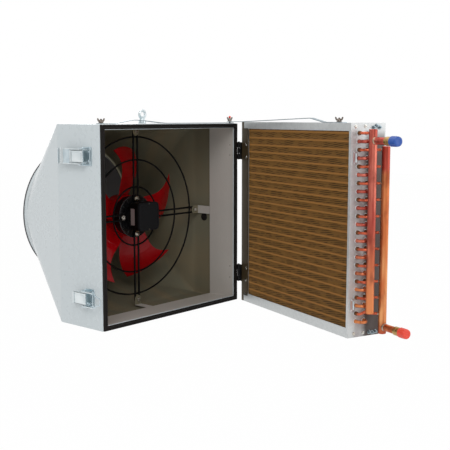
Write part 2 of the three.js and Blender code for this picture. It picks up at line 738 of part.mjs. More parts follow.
const casingLeaf = () => {
  const wall = half + fit;
  const h = hinge.height / 2;
  const leaf = block(wall, wall + 2, 1.6, hinge.casingReach, -h, h);
  const flange = block(wall, hingePlateEnd, 1.1, 2.7, -h, h);
  const ends = [-1, 1].map((side) => {
    const z0 = side > 0 ? h - third + fit : -h;
    const z1 = z0 + third - fit;
    return join(
      rodZ(hinge.knuckle, pivot.x, pivot.y, z0, z1, 16),
      block(wall, pivot.x, 1.1, 2.7, z0, z1),
    );
  });
  const rivets = [-18, 18].map((z) => rodX(3.2, 22.5, z, wall + 1, wall + 3.4, 10));
  const body = join(leaf, flange, ...ends, ...rivets);
  return cut(body, rodZ(hinge.pin + fit, pivot.x, pivot.y, -h - 1, h + 1, 12));
};

const coilLeaf = () => {
  const h = hinge.height / 2;
  const face = coilFace + fit;
  const leaf = block(half - hinge.coilReach, hingePlateEnd, face, face + hinge.leaf, -h, h);
  const z1 = h - third - fit;
  const arm = block(half - 5, pivot.x, face, face + hinge.leaf, -z1, z1);
  const knuckle = rodZ(hinge.knuckle, pivot.x, pivot.y, -z1, z1, 16);
  const screws = [-21.5, 21.5].map((z) =>
    rodY(3.6, half - 34, z, face + hinge.leaf - 0.5, face + hinge.leaf + 2, 10),
  );
  return cut(join(leaf, arm, knuckle, ...screws), rodZ(hinge.pin + fit, pivot.x, pivot.y, -h - 1, h + 1, 12));
};

const hingePin = () => {
  const h = hinge.height / 2;
  return join(
    rodZ(hinge.pin, pivot.x, pivot.y, -h - 1, h + fit + 1, 12),
    rodZ(hinge.knuckle - 1, pivot.x, pivot.y, h + fit, h + fit + 2, 12),
  );
};

Object.entries(hingeZ).forEach(([which, z]) => {
  place(which + "_casing_hinge_leaf", casingLeaf(), blackPaint).position.z = z;
  place(which + "_hinge_pin", hingePin(), blackPaint).position.z = z;
  place(which + "_coil_hinge_leaf", coilLeaf(), blackPaint, shut).position.z = z;
});

// ---------- the coil door ----------
const coilBack = coilFace - coil.thickness;
const rowZ = (row) => coil.top - tubes.topRow - row * tubes.pitch;
const pocketX = half - fins.pocket;
const finEnd = coilEnd + coil.sheet + fit;
const [frontColumn, backColumn] = tubes.columns;

const hingeSidePlate = () => {
  const side = block(half - coil.sheet, half, coilBack, coilFace, coil.bottom, coil.top);
  const lips = [coilFace - coil.sheet, coilBack].map((y) =>
    block(half - coil.sideLip, half, y, y + coil.sheet, coil.bottom, coil.top),
  );
  return join(side, ...lips);
};

// The plate that the tubes come through, with a lip at the front and the back.
const connectionPlate = () => {
  const side = block(coilEnd, coilEnd + coil.sheet, coilBack, coilFace, coil.bottom, coil.top);
  const lips = [coilFace - coil.sheet, coilBack].map((y) =>
    block(coilEnd, coilEnd + 10, y, y + coil.sheet, coil.bottom, coil.top),
  );
  const holes = [];
  for (let row = 0; row < tubeRows; row += 1)
    for (const column of tubes.columns)
      holes.push(rodX(tubes.radius + fit, coilFace - column, rowZ(row), coilEnd - 5, coilEnd + 5, 6));
  return cut(join(side, ...lips), ...holes);
};

const channel = (plateZ, lipHeight, inward) => {
  const x0 = coilEnd + 10 + fit;
  const x1 = half - coil.sideLip - fit;
  const web = block(
    coilEnd + coil.sheet + fit, half - coil.sheet - fit,
    coilBack + coil.sheet + fit, coilFace - coil.sheet - fit,
    ...inOrder(plateZ, plateZ + inward * coil.sheet),
  );
  const lips = [
    [coilFace - coil.sheet, coilFace],
    [coilBack, coilBack + coil.sheet],
  ].map(([y0, y1]) => block(x0, x1, y0, y1, ...inOrder(plateZ, plateZ + inward * lipHeight)));
  const ties = [
    [coilFace - 2 * coil.sheet - fit, coilFace],
    [coilBack, coilBack + 2 * coil.sheet + fit],
  ].map(([y0, y1]) => block(x0, x1, y0, y1, ...inOrder(plateZ, plateZ + inward * coil.sheet)));
  return join(web, ...lips, ...ties);
};

// A hairpin between the ends of two tubes, standing out along x.
const returnBend = (x, reach, a, b, sides) => {
  const curve = new THREE.CatmullRomCurve3(
    [
      new THREE.Vector3(x, a.y, a.z),
      new THREE.Vector3(x + reach * 0.55, a.y, a.z),
      new THREE.Vector3(x + reach, (a.y + b.y) / 2, (a.z + b.z) / 2),
      new THREE.Vector3(x + reach * 0.55, b.y, b.z),
      new THREE.Vector3(x, b.y, b.z),
    ],
    false,
    "catmullrom",
    0.5,
  );
  return tubeAlong(curve, tubes.radius, sides, sides);
};

const tubeEnd = (column, row) => ({ y: coilFace - column, z: rowZ(row) });
// The fins as one block, with upright grooves in its front and back faces.
const finPack = () => {
  const front = coilFace - coil.sheet - fit;
  const back = coilFace - fins.depth;
  const count = Math.round((pocketX - finEnd) / fins.groovePitch);
  const pitch = (pocketX - finEnd) / count;
  const grooved = (y, bottom) =>
    Array.from({ length: count }, (_, k) => {
      const x0 = finEnd + (k + 0.5) * pitch - fins.grooveWidth / 2;
      const x1 = x0 + fins.grooveWidth;
      return [[x0, y], [x0, bottom], [x1, bottom], [x1, y]];
    }).flat();
  const outline = [
    [finEnd, back],
    ...grooved(back, back + fins.grooveDepth),
    [pocketX, back],
    [pocketX, front],
    ...grooved(front, front - fins.grooveDepth).reverse(),
    [finEnd, front],
  ];
  const shape = new THREE.Shape(outline.map(([x, y]) => new THREE.Vector2(x, y)));
  return plate(shape, coil.bottom + fins.headroom, coil.top - fins.headroom);
};

const coilCore = () => {
  const bends = [];
  for (let row = 0; row < tubeRows; row += 1) {
    const ends = [tubeEnd(frontColumn, row), tubeEnd(backColumn, row)];
    bends.push(returnBend(pocketX - 1, tubes.hingeBend, ...ends, 4));
    if (row % 2 === 1) bends.push(returnBend(finEnd + 1, -tubes.plateBend, ...ends, 6));
  }
  return join(finPack(), ...bends);
};

// A header pipe with its feeders, from the tube ends of one column, and its stub.
const headerX = coilEnd - header.standOff;
const headerPipe = (pipe, column, firstRow) => {
  const y = coilFace - pipe.at;
  const wall = 1.2;
  const feeders = [];
  for (let row = firstRow; row < tubeRows; row += 2) {
    const start = tubeEnd(column, row);
    const curve = new THREE.CatmullRomCurve3([
      new THREE.Vector3(finEnd - fit, start.y, start.z),
      new THREE.Vector3(coilEnd - 14, start.y, start.z),
      new THREE.Vector3(coilEnd - 0.6 * header.standOff, start.y + 0.35 * (y - start.y), start.z),
      new THREE.Vector3(headerX + 3, y - 0.1 * (y - start.y), start.z),
    ]);
    feeders.push(tubeAlong(curve, header.feeder, 4, 6));
  }
  const stubEnd = headerX - stub.length;
  const body = join(
    rodZ(header.radius, headerX, y, pipe.bottom, pipe.top, 20),
    rodX(stub.radius, y, pipe.stubZ, stubEnd, headerX, 16),
    ...feeders,
  );
  return cut(body, rodX(stub.radius - wall, y, pipe.stubZ, stubEnd - 1, headerX - header.radius, 16));
};

// The brass nipple on a stub, and the cap pushed over it.
const nippleEnd = headerX - stub.length - stub.ringLength;
const nipple = () =>
  cut(
    join(
      rodX(stub.ringRadius, 0, 0, nippleEnd, nippleEnd + stub.ringLength - fit, 16),
      rodX(stub.ringRadius - 1.5, 0, 0, nippleEnd - 20, nippleEnd + 1, 16),
    ),
    rodX(stub.radius - 2, 0, 0, nippleEnd - 30, nippleEnd + 30, 16),
  );
const pipeCap = () => {
  const mouth = nippleEnd - fit;
  return cut(
    rodX(stub.capRadius, 0, 0, mouth - stub.capLength, mouth, 20),
    rodX(stub.ringRadius - 1.5 + fit, 0, 0, mouth - stub.capLength + stub.capWall, mouth + 1, 20),
  );
};

const latchKeeper = () => {
  const outer = coilEnd - fit;
  const y = coilFace - keeper.at;
  const [w, h] = [keeper.width / 2, keeper.height / 2];
  return join(
    block(outer - keeper.thickness, outer, y - w, y + w, -h, h),
    rodZ(keeper.ridge, outer - keeper.thickness - 1.2, y - w + keeper.ridge, -h * 0.7, h * 0.7, 10),
  );
};

const coilStudPlace = new THREE.Vector3(coilEnd + stay.fromPipeSide, coilFace - stay.fromFace, coil.top);
const topChannel = () =>
  cut(
    channel(coil.top, coil.topLip, -1),
    rodZ(stud.radius + fit, coilStudPlace.x, coilStudPlace.y, coil.top - 5, coil.top + 5, 12),
  );

place("hinge_side_plate", hingeSidePlate(), galvanised, shut);
place("connection_plate", connectionPlate(), galvanised, shut);
place("top_channel", topChannel(), galvanised, shut);
place("bottom_channel", channel(coil.bottom, coil.bottomLip, 1), galvanised, shut);
place("fin_coil", coilCore(), finBrown, shut);
place("supply_header", headerPipe(supply, frontColumn, 0), copper, shut);
place("return_header", headerPipe(returns, backColumn, 2), copper, shut);
place("supply_nipple", nipple(), brass, shut).position.set(0, coilFace - supply.at, supply.stubZ);
place("return_nipple", nipple(), brass, shut).position.set(0, coilFace - returns.at, returns.stubZ);
place("blue_cap", pipeCap(), blueCap, shut).position.set(0, coilFace - supply.at, supply.stubZ);
place("red_cap", pipeCap(), redCap, shut).position.set(0, coilFace - returns.at, returns.stubZ);
place("upper_keeper", latchKeeper(), zinc, shut).position.z = latchZ.upper;
place("lower_keeper", latchKeeper(), zinc, shut).position.z = latchZ.lower;
place("coil_stud", wingStud(24), steel, shut).position.copy(coilStudPlace);
const coilNut = place("coil_wing_nut", wingNut(0), steel, shut);
coilNut.position.set(coilStudPlace.x, coilStudPlace.y, stayTop + fit);

// ---------- door stay ----------
// A strap on the coil whose slotted end slides round the right stud: the slot is an arc about the hinge axis.
const seat = new THREE.Vector2(studX, stud.fromFront).rotateAround(pivot, -doorAngle);
const along = new THREE.Vector2(seat.x - coilStudPlace.x, seat.y - coilStudPlace.y);
const doorStay = () => {
  const length = along.length();
  const bottom = coil.top + fit;
  const points = [
    [-stay.tab, bottom],
    [stay.drop, bottom],
    [2 * stay.drop, bottom + stay.bow],
    [length - stay.flat, bottom],
    [length, bottom],
  ];
  const local = new THREE.Vector2(pivot.x - coilStudPlace.x, pivot.y - coilStudPlace.y);
  local.rotateAround(new THREE.Vector2(), -along.angle());
  const radius = pivot.distanceTo(seat);
  const seatAngle = Math.atan2(-local.y, length - local.x);
  const band = (reach, margin) => {
    const from = seatAngle - THREE.MathUtils.degToRad(door.extraOpen) - margin;
    const to = seatAngle + doorAngle + margin;
    const shape = new THREE.Shape();
    shape.absarc(local.x, local.y, radius + reach, from, to, false);
    shape.absarc(local.x, local.y, radius - reach, to, from, true);
    shape.closePath();
    return shape;
  };
  const slotMargin = stay.slotHalf / radius;
  const slot = plate(band(stay.slotHalf, slotMargin), bottom - 5, bottom + 9, 18);
  const sector = plate(band(stay.bandHalf, 2.6 * slotMargin), bottom, bottom + strap.thickness, 18);
  const strip = bentStrip(points, strap.thickness, strap.width);
  return cut(join(strip, sector), slot, rodZ(stud.radius + fit, 0, 0, bottom - 5, bottom + 9, 12));
};
const stayStrap = place("door_stay", doorStay(), zinc, shut);
stayStrap.position.set(coilStudPlace.x, coilStudPlace.y, 0);
stayStrap.rotation.z = along.angle();

// The hanging eye is the origin of the part.
unit.position.set(0, -eye.behindFront, -eyeZ);
const part = new THREE.Group();
part.add(unit);

export default part;
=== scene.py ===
import json
import math

import bpy
import numpy as np
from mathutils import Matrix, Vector

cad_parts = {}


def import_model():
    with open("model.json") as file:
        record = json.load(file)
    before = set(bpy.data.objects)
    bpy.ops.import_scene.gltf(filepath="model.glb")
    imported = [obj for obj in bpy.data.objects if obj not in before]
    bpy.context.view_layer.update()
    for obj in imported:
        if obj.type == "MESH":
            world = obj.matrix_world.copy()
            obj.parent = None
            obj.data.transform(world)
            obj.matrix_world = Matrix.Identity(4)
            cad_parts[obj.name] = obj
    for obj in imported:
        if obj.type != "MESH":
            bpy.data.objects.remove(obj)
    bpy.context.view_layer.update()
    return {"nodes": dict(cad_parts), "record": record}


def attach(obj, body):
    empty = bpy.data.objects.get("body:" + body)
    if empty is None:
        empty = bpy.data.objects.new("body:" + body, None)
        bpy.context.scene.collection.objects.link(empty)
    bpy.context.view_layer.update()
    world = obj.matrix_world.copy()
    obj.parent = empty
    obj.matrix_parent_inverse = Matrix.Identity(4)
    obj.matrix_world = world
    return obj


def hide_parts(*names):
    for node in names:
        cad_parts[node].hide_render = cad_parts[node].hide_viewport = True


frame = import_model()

# Shapes are drawn in the unit's own millimetres, as the part's source has them: x = 0 on the fan axis,
# y = 0 at the front of the box, z = 0 at its bottom. The hanging eye is the origin of the part.
TURN = 2 * math.pi
HALF = MIDDLE = 325.0  # half the side of the box, and the height of the fan axis in it
AXIS = (0, 0, MIDDLE)
EYE = np.array([0.0, 151.0, 681.5])
PIVOT = np.array([336.0, -2.0])
PIVOT_X, PIVOT_Y = (PIVOT[0] - EYE[0]) / 1000, (PIVOT[1] - EYE[1]) / 1000
OPEN = math.radians(70)
FITTING_Z = {"upper": MIDDLE + 225, "lower": MIDDLE - 225}  # heights of the hinges, latches and keepers

# The casing: half the side of its front opening, the radius of its spigot, and where along the axis they lie.
FRONT_OPENING, WALL_INSIDE = 307.2, 323.4
TAPER_FROM, TAPER_LENGTH = 206, 284
SPIGOT, SPIGOT_BORE, SPIGOT_END = 245.0, 243.5, 508.0
GASKET_OUT, GASKET_WIDTH = 323.4, 14.2
LINER_IN, LINER_OUT, LINER_BACK = 316.0, 317.5, 123.0
GUARD_Y, SPOKE_Y, TAB_Y, FLANGE_Y = 192.3, 188.2, 184.9, 191.5
GUARD_BOLTS, MOTOR_BOLTS, SPOKE_APART = 298, 62, 9.5  # the first two are distances from the fan axis
BOX_Z = MIDDLE + 4

# The fan, and what stands on the box.
HUB_INNER, HUB_OUTER, HUB_RIM = 68.3, 71.8, 70.8
TIP, FAN_Y = 243.0, 258.0
SHEET_TOP, STRAP_Z, STRAP_TOP, STAY_TOP = 650.0, 650.3, 652.3, 656.3
STUD_X, STUD_Y, STAY_STUD = 305.0, 15, (-230.0, -30.4)

# The latches and hinges; WALL is how far the casing's wall lies behind the lever's pin.
LATCH_X, LATCH_Y, BAIL_X, BAIL_Y, WALL = -338.0, 64.0, -345.0, 70.0, 12.7
LEAF_HALF, KNUCKLE, LEAF_Y = 31, 20.3, (-8.1, -6.6)

# The coil in its shut place; PLATE is how far the connection plate's face lies from the fan axis.
COIL_FACE, COIL_BACK, COIL_TOP, COIL_BOTTOM, PLATE = -8.4, -138.4, 654.0, -2.0, 320.0
ROWS, ROW_PITCH, TOP_ROW_Z = 24, 25.0, 624.0
FRONT_COLUMN, BACK_COLUMN, HEADER_X = COIL_FACE - 28, COIL_FACE - 60, -365.0
PART_TOP_ROW = (TOP_ROW_Z - EYE[2]) / 1000
FIN_PITCH, FIN_THICK, FIN_FROM, FIN_TO = 2.5, 0.28, -318.2, 279.0
DOOR_BODIES = "coil_door", "coil_nut"


# ---------- shapes ----------
def arranged(a, b, h, axis):
    """Coordinates a and b across an axis and h along it, in x, y, z order."""
    return {"x": (h, a, b), "y": (a, h, b), "z": (a, b, h)}[axis]


def corners(a0, a1, b0, b1):
    """The four corners of a rectangle, in order."""
    return [(a0, b0), (a1, b0), (a1, b1), (a0, b1)]


def round_axis(angle, radius, y):
    """The point at an angle and a radius round the fan axis."""
    return np.array([radius * math.cos(angle), y, MIDDLE + radius * math.sin(angle)])


def quarter(path, k):
    """Points (x, height over the fan axis) turned by k quarters of a turn about it, as (x, z)."""
    c, s = round(math.cos(k * TURN / 4)), round(math.sin(k * TURN / 4))
    a, b = np.asarray(path, float).T
    return np.column_stack([a * c - b * s, MIDDLE + a * s + b * c])


def grid(points, along):
    """Points [row, column, xyz] and the quads between neighbours. The last column is joined to the first,
    and with along the last row too."""
    rows, columns = points.shape[:2]
    index = np.arange(rows * columns).reshape(rows, columns)
    index = np.concatenate([index, index[:, :1]], 1)
    if along:
        index = np.concatenate([index, index[:1]], 0)
    quads = index[:-1, :-1], index[:-1, 1:], index[1:, 1:], index[1:, :-1]
    return points.reshape(-1, 3), np.stack(quads, -1).reshape(-1, 4)


def inward(points, *groups):
    """Whether groups of triangles or quads face inwards: their wedges to the origin then sum to less than
    nothing."""
    total = 0.0
    for faces in groups:
        first, *rest = (points[faces[:, k]] for k in range(faces.shape[1]))
        total += sum(np.sum(first * np.cross(b, c)) for b, c in zip(rest, rest[1:]))
    return total < 0


def skin(rows, along=False, kind=0):
    """A closed shape from rows of points. Points that coincide are one, quads that lose a corner are
    triangles, and the faces look outwards."""
    points, quads = grid(np.asarray(rows), along)
    _, first, inverse = np.unique(np.round(points, 3), axis=0, return_index=True, return_inverse=True)
    points = points[first]
    faces = inverse.reshape(-1)[quads]
    same = faces == np.roll(faces, -1, axis=1)
    whole = faces[same.sum(1) == 0]
    three = same.sum(1) == 1
    triangles = faces[three][~same[three]].reshape(-1, 3)
    if inward(points, whole, triangles):
        whole, triangles = whole[:, ::-1], triangles[:, ::-1]
    return points, whole.tolist() + triangles.tolist(), kind


def prism(outline, low, high, axis="z", kind=0):
    """A closed outline (a, b) carried straight from low to high along an axis."""
    flat = np.asarray(outline, float)
    n = len(flat)
    ends = [np.stack(arranged(flat[:, 0], flat[:, 1], np.full(n, h), axis), -1) for h in (low, high)]
    area = np.sum(flat[:, 0] * np.roll(flat[:, 1], -1) - np.roll(flat[:, 0], -1) * flat[:, 1])
    faces = [[i, (i + 1) % n, (i + 1) % n + n, i + n] for i in range(n)]
    faces += [list(range(n))[::-1], list(range(n, 2 * n))]
    if (area < 0) != (axis == "y") != (high < low):
        faces = [face[::-1] for face in faces]
    return np.concatenate(ends), faces, kind


def block(x0, x1, y0, y1, z0, z1, kind=0):
    """A plate or bar between two corners; the piece it belongs to rounds its edges when it is given a bevel.
    """
    return prism(corners(x0, x1, y0, y1), z0, z1, kind=kind)


def both_sides(outline, near, far):
    """The same outline carried from near to far along z, on both sides of z = 0."""
    return [prism(outline, *sorted((side * near, side * far))) for side in (-1, 1)]


def soften(outline, radius, steps=4):
    """A closed outline whose corners are rounded by a quadratic curve that starts radius before each."""
    points = np.asarray(outline, float)
    radii = np.broadcast_to(radius, len(points))
    t = np.linspace(0, 1, steps + 1)[:, None]
    out = []
    for before, corner, after, r in zip(np.roll(points, 1, 0), points, np.roll(points, -1, 0), radii):
        if r <= 0:
            out.append(corner[None])
            continue
        a = corner + (before - corner) * min(0.49, r / np.linalg.norm(before - corner))
        b = corner + (after - corner) * min(0.49, r / np.linalg.norm(after - corner))
        out.append((1 - t) ** 2 * a + 2 * t * (1 - t) * corner + t**2 * b)
    return np.concatenate(out)


def turned(profile, centre, sides, axis="y"):
    """A section (radius, height), closed or from axis to axis, turned about an axis through centre."""
    radius, height = np.asarray(profile, float).T
    angle = np.linspace(0, TURN, sides, endpoint=False)[:, None]
    a, b = radius * np.cos(angle), radius * np.sin(angle)
    points = np.stack(arranged(a, b, np.broadcast_to(height, a.shape), axis), -1)
    return skin(points + np.asarray(centre, float), along=True)


def washer(outer, bore, low, high, centre, axis="y"):
    """A flat washer with soft edges."""
    return turned(soften(corners(bore, outer, low, high), 0.35, 2), centre, 32, axis)


def tube(path, radius, sides, kind=0):
    """Circles of a radius, one or one each point, carried square along a path, with flat ends."""
    path = np.asarray(path, float)
    radii = np.broadcast_to(radius, len(path))
    ahead = np.gradient(path, axis=0)
    ahead /= np.linalg.norm(ahead, axis=1)[:, None]
    angle = np.linspace(0, TURN, sides, endpoint=False)[:, None]
    side = np.cross(ahead[0], (0.0, 0.0, 1.0))
    if np.linalg.norm(side) < 0.1:
        side = np.array([1.0, 0.0, 0.0])
    rings = [np.repeat(path[:1], sides, 0)]
    for place, way, r in zip(path, ahead, radii):
        side = side - way * (side @ way)
        side /= np.linalg.norm(side)
        up = np.cross(way, side)
        rings.append(place + r * (np.cos(angle) * side + np.sin(angle) * up))
    rings.append(np.repeat(path[-1:], sides, 0))
    return skin(rings, kind=kind)


def rod(radius, start, end, sides=24, kind=0, edge=0.4):
    """A straight round bar whose ends are rounded over a length of edge."""
    start, end = np.asarray(start, float), np.asarray(end, float)
    length = np.linalg.norm(end - start)
    stops = np.array([0, edge * 0.3, edge, length - edge, length - edge * 0.3, length])
    radii = radius - edge * np.array([1, 0.3, 0, 0, 0.3, 1])
    return tube(start + stops[:, None] * (end - start) / length, radii, sides, kind)


def curve(points, per_span):
    """A smooth path through points, each span a Catmull-Rom cubic of its four nearest points."""
    p = np.asarray(points, float)
    p = np.concatenate([[2 * p[0] - p[1]], p, [2 * p[-1] - p[-2]]])
    t = np.linspace(0, 1, per_span, endpoint=False)[:, None]
    spans = [
        0.5 * (2 * b + (c - a) * t + (2 * a - 5 * b + 4 * c - d) * t**2 + (3 * b - a - 3 * c + d) * t**3)
        for a, b, c, d in zip(p, p[1:], p[2:], p[3:])
    ]
    return np.concatenate(spans + [p[-2:-1]])


def torus(major, minor, centre, around, axis="y", sides=12):
    """A round wire of radius minor bent to a ring of radius major."""
    angle = np.linspace(0, TURN, sides, endpoint=False)
    profile = np.stack([major + minor * np.cos(angle), minor * np.sin(angle)], 1)
    return turned(profile, centre, around, axis)


def hexagon(across, centre, low, high, axis="y"):
    """A hexagonal nut or bolt head: at each angle it reaches to its flats, and both faces are chamfered to a
    circle."""
    angle = np.linspace(0, TURN, 36, endpoint=False)
    corner = np.abs((angle + math.pi / 6) % (math.pi / 3) - math.pi / 6)
    flat = across / 2 / np.cos(corner)
    chamfer = 0.12 * (high - low)
    rows = []
    for h, limit in ((low, 0), (low, 0.95), (low + chamfer, 2), (high - chamfer, 2), (high, 0.95), (high, 0)):
        r = np.minimum(flat, limit * across / 2)
        rows.append(np.stack(arranged(r * np.cos(angle), r * np.sin(angle), np.full(36, h), axis), -1))
    return skin(np.array(rows) + np.asarray(centre, float))


QUARTER_STEPS, SIDE_STEPS = 24, 30


def ring_template():
    """For a ring round the fan axis: each point's place on a unit square, and the way its normal points."""
    square, normal = [], []
    for k in range(4):
        start = k * math.pi / 2
        corner = np.sign([math.cos(start + math.pi / 4), math.sin(start + math.pi / 4)])
        following = np.array([-corner[1], corner[0]])
        for angle in np.linspace(start, start + math.pi / 2, QUARTER_STEPS + 1):
            square.append(corner)
            normal.append((math.cos(angle), math.sin(angle)))
        for t in np.arange(1, SIDE_STEPS) / SIDE_STEPS:
            square.append(corner * (1 - t) + following * t)
            normal.append(normal[-1])
    return np.array(square), np.array(normal)


SQUARE, NORMAL = ring_template()


def ring(y, half, circle=0.0, share=0.0, corner=2.5):
    """A ring about the fan axis: a square of a half side with round corners, blended by share to a circle."""
    flat = (1 - share) * ((half - corner) * SQUARE + corner * NORMAL) + share * circle * NORMAL
    return np.column_stack([flat[:, 0], np.full(len(flat), y), MIDDLE + flat[:, 1]])


def square_loop(section):
    """A closed section (distance from the fan axis, y) carried round the square of the box."""
    return skin([ring(y, half, corner=1.0) for half, y in section], along=True)


def opened(points):
    """Points of the shut door turned about the hinge to where the open door rests."""
    flat = points[:, :2] - PIVOT
    c, s = math.cos(OPEN), math.sin(OPEN)
    x, y = flat[:, 0] * c - flat[:, 1] * s, flat[:, 0] * s + flat[:, 1] * c
    return np.column_stack([x + PIVOT[0], y + PIVOT[1], points[:, 2]])


def moved(shapes, offset, angle=0.0):
    """Shapes turned by an angle about z and then carried by an offset."""
    c, s = math.cos(angle), math.sin(angle)
    turn = np.array([[c, s, 0], [-s, c, 0], [0, 0, 1]])
    return [(points @ turn + np.asarray(offset, float), faces, kind) for points, faces, kind in shapes]


def piece(name, body, looks, shapes, stands_for=(), bevel=0.0, crease=38.0):
    """One object from closed shapes in unit millimetres; those of the door are drawn shut. bevel is in
    millimetres, and crease is the angle in degrees above which an edge stays sharp."""
    points, faces, kinds, count = [], [], [], 0
    for shape_points, shape_faces, kind in shapes:
        points.append(shape_points)
        faces += [[count + i for i in face] for face in shape_faces]
        kinds += [kind] * len(shape_faces)
        count += len(shape_points)
    points = np.concatenate(points)
    if body in DOOR_BODIES:
        points = opened(points)
    mesh = bpy.data.meshes.new(name)
    mesh.from_pydata(((points - EYE) / 1000).tolist(), [], faces)
    for look in looks:
        mesh.materials.append(look)
    mesh.polygons.foreach_set("material_index", np.array(kinds, np.int32))
    mesh.polygons.foreach_set("use_smooth", np.ones(len(faces), bool))
    mesh.update()
    mesh.set_sharp_from_angle(angle=math.radians(crease))
    made = bpy.data.objects.new(name, mesh)
    bpy.context.scene.collection.objects.link(made)
    if bevel:
        rounding = made.modifiers.new("edges", "BEVEL")
        rounding.width = bevel / 1000
        rounding.segments = 2
        rounding.limit_method = "ANGLE"
        rounding.angle_limit = math.radians(crease)
        rounding.use_clamp_overlap = True
        rounding.harden_normals = True
    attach(made, body)
    if stands_for:
        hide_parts(*stands_for)


# ---------- materials ----------
def colour(red, green, blue):
    """A screen colour of 0 to 255 as the linear values that Blender works in."""
    parts = np.array([red, green, blue]) / 255
    linear = np.where(parts <= 0.04045, parts / 12.92, ((parts + 0.055) / 1.055) ** 2.4)
    return (*linear.tolist(), 1.0)


class Value:
    """A number in a shader, so that its arithmetic can be written as arithmetic."""

    def __init__(self, nodes, socket):
        self.nodes, self.socket = nodes, socket

    def step(self, operation, *others):
        """The result of one Math node on this value and the others."""
        made = self.nodes.node("ShaderNodeMath", {"operation": operation}, enumerate((self, *others)))
        return Value(self.nodes, made.outputs[0])

    def __add__(self, other):
        return self.step("ADD", other)

    def __mul__(self, other):
        return self.step("MULTIPLY", other)

    def __sub__(self, other):
        return self.step("SUBTRACT", other)

    def __rsub__(self, other):
        return self * -1 + other

    __radd__, __rmul__ = __add__, __mul__

    def over(self, low, high):
        """0 below low, 1 above high, smooth between."""
        span = {"Value": self, "From Min": low, "From Max": high}
        made = self.nodes.node("ShaderNodeMapRange", {"interpolation_type": "SMOOTHSTEP"}, span)
        return Value(self.nodes, made.outputs["Result"])


class Nodes:
    """The shader nodes of a material or of the world."""

    def __init__(self, tree):
        self.tree = tree

    def node(self, kind, settings=(), inputs=()):
        """A node of a type, with its settings and then its inputs: numbers, colours or others' outputs."""
        node = self.tree.nodes.new(kind)
        for key, value in dict(settings).items():
            setattr(node, key, value)
        for key, item in dict(inputs).items():
            self.feed(node.inputs[key], item)
        return node

    def feed(self, entry, item):
        """Links an input to a value or an output, or sets it."""
        if isinstance(item, Value):
            item = item.socket
        if isinstance(item, bpy.types.NodeSocket):
            self.tree.links.new(item, entry)
        else:
            entry.default_value = item

    def parts(self, vector):
        """The three numbers of a vector or a colour."""
        return [Value(self, socket) for socket in self.node("ShaderNodeSeparateXYZ", {}, {0: vector}).outputs]

    def rays(self, *kinds):
        """1 for light rays of these kinds, 0 for others."""
        flags = self.node("ShaderNodeLightPath").outputs
        return sum(Value(self, flags[kind]) for kind in kinds).step("MINIMUM", 1.0)


class Look(Nodes):
    """A material: one Principled shader, with the nodes that vary its colour, roughness and normal."""

    def __init__(self, name, **constants):
        self.material = bpy.data.materials.new(name)
        self.material.use_nodes = True
        super().__init__(self.material.node_tree)
        self.shader = self.tree.nodes["Principled BSDF"]
        for socket, value in constants.items():
            self.feed(self.shader.inputs[socket.replace("_", " ")], value)
        self.place = self.node("ShaderNodeTexCoord").outputs["Object"]
        self.x, self.y, self.z = self.parts(self.place)

    def noise(self, scale, detail, stretch=(1, 1, 1)):
        """Cloudy noise, scale features a metre, stretched by stretch."""
        mapped = self.node("ShaderNodeMapping", {}, {"Vector": self.place, "Scale": stretch})
        inputs = {"Vector": mapped.outputs[0], "Scale": scale, "Detail": detail}
        return Value(self, self.node("ShaderNodeTexNoise", {}, inputs).outputs[0])

    def cells(self, scale):
        """Random values in cells, scale cells a metre."""
        made = self.node("ShaderNodeTexVoronoi", {}, {"Vector": self.place, "Scale": scale})
        return self.parts(made.outputs["Color"])[0]

    def mix(self, first, second, share):
        """Colour first blended into second by share."""
        made = self.node("ShaderNodeMix", {"data_type": "RGBA"})
        entries = [socket for socket in made.inputs if socket.type == "RGBA"]
        self.feed(entries[0], first)
        self.feed(entries[1], second)
        self.feed(made.inputs[0], share)
        return next(socket for socket in made.outputs if socket.type == "RGBA")

    def finish(self, base, roughness, height=None, depth=0.0001, strength=0.5):
        """Feeds colour and roughness, and a bump of a height in metres; returns the material."""
        self.feed(self.shader.inputs["Base Color"], base)
        self.feed(self.shader.inputs["Roughness"], roughness)
        if height is not None:
            bump = {"Height": height, "Distance": depth, "Strength": strength}
            self.feed(self.shader.inputs["Normal"], self.node("ShaderNodeBump", {}, bump).outputs[0])
        return self.material


def painted(name, tone, shade, roughness, coat=0.0, specular=0.5):
    """Sprayed paint: a slow drift of tone, a fine orange peel, and a few duller patches."""
    look = Look(name, Specular_IOR_Level=specular, Coat_Weight=coat, Coat_Roughness=0.12)
    drift, dust = look.noise(3.2, 3.0), look.noise(55.0, 4.0)
    base = look.mix(colour(*tone), colour(*shade), drift * 0.55 + dust * 0.35)
    dull = roughness + (drift - 0.5) * 0.12 + (dust - 0.5) * 0.08
    return look.finish(base, dull, look.noise(260.0, 2.0), 0.00012)


def rolled(name, tone, shade, metallic, roughness, stretch):
    """Rolled or brushed sheet: long fine streaks in tone and roughness, with a shallow bump along them."""
    look = Look(name, Metallic=metallic)
    streaks = look.noise(60.0, 5.0, stretch)
    drift = look.noise(5.0, 2.0)
    base = look.mix(colour(*tone), colour(*shade), streaks * 0.6 + drift * 0.4)
    return look.finish(base, roughness + (streaks - 0.5) * 0.2 + (drift - 0.5) * 0.1, streaks, 0.00006)


def zinc_plated(name, tone, shade, tint, roughness):
    """Bright plating: cloudy grey with a faint blue or yellow bloom and small dull specks."""
    look = Look(name, Metallic=1.0)
    cloud = look.noise(38.0, 4.0)
    bloom = look.noise(14.0, 2.0).over(0.45, 0.7)
    speck = look.noise(420.0, 2.0)
    base = look.mix(look.mix(colour(*tone), colour(*shade), cloud), colour(*tint), bloom * 0.5)
    return look.finish(base, roughness + (cloud - 0.5) * 0.18 + (speck - 0.5) * 0.06, speck, 0.00004)


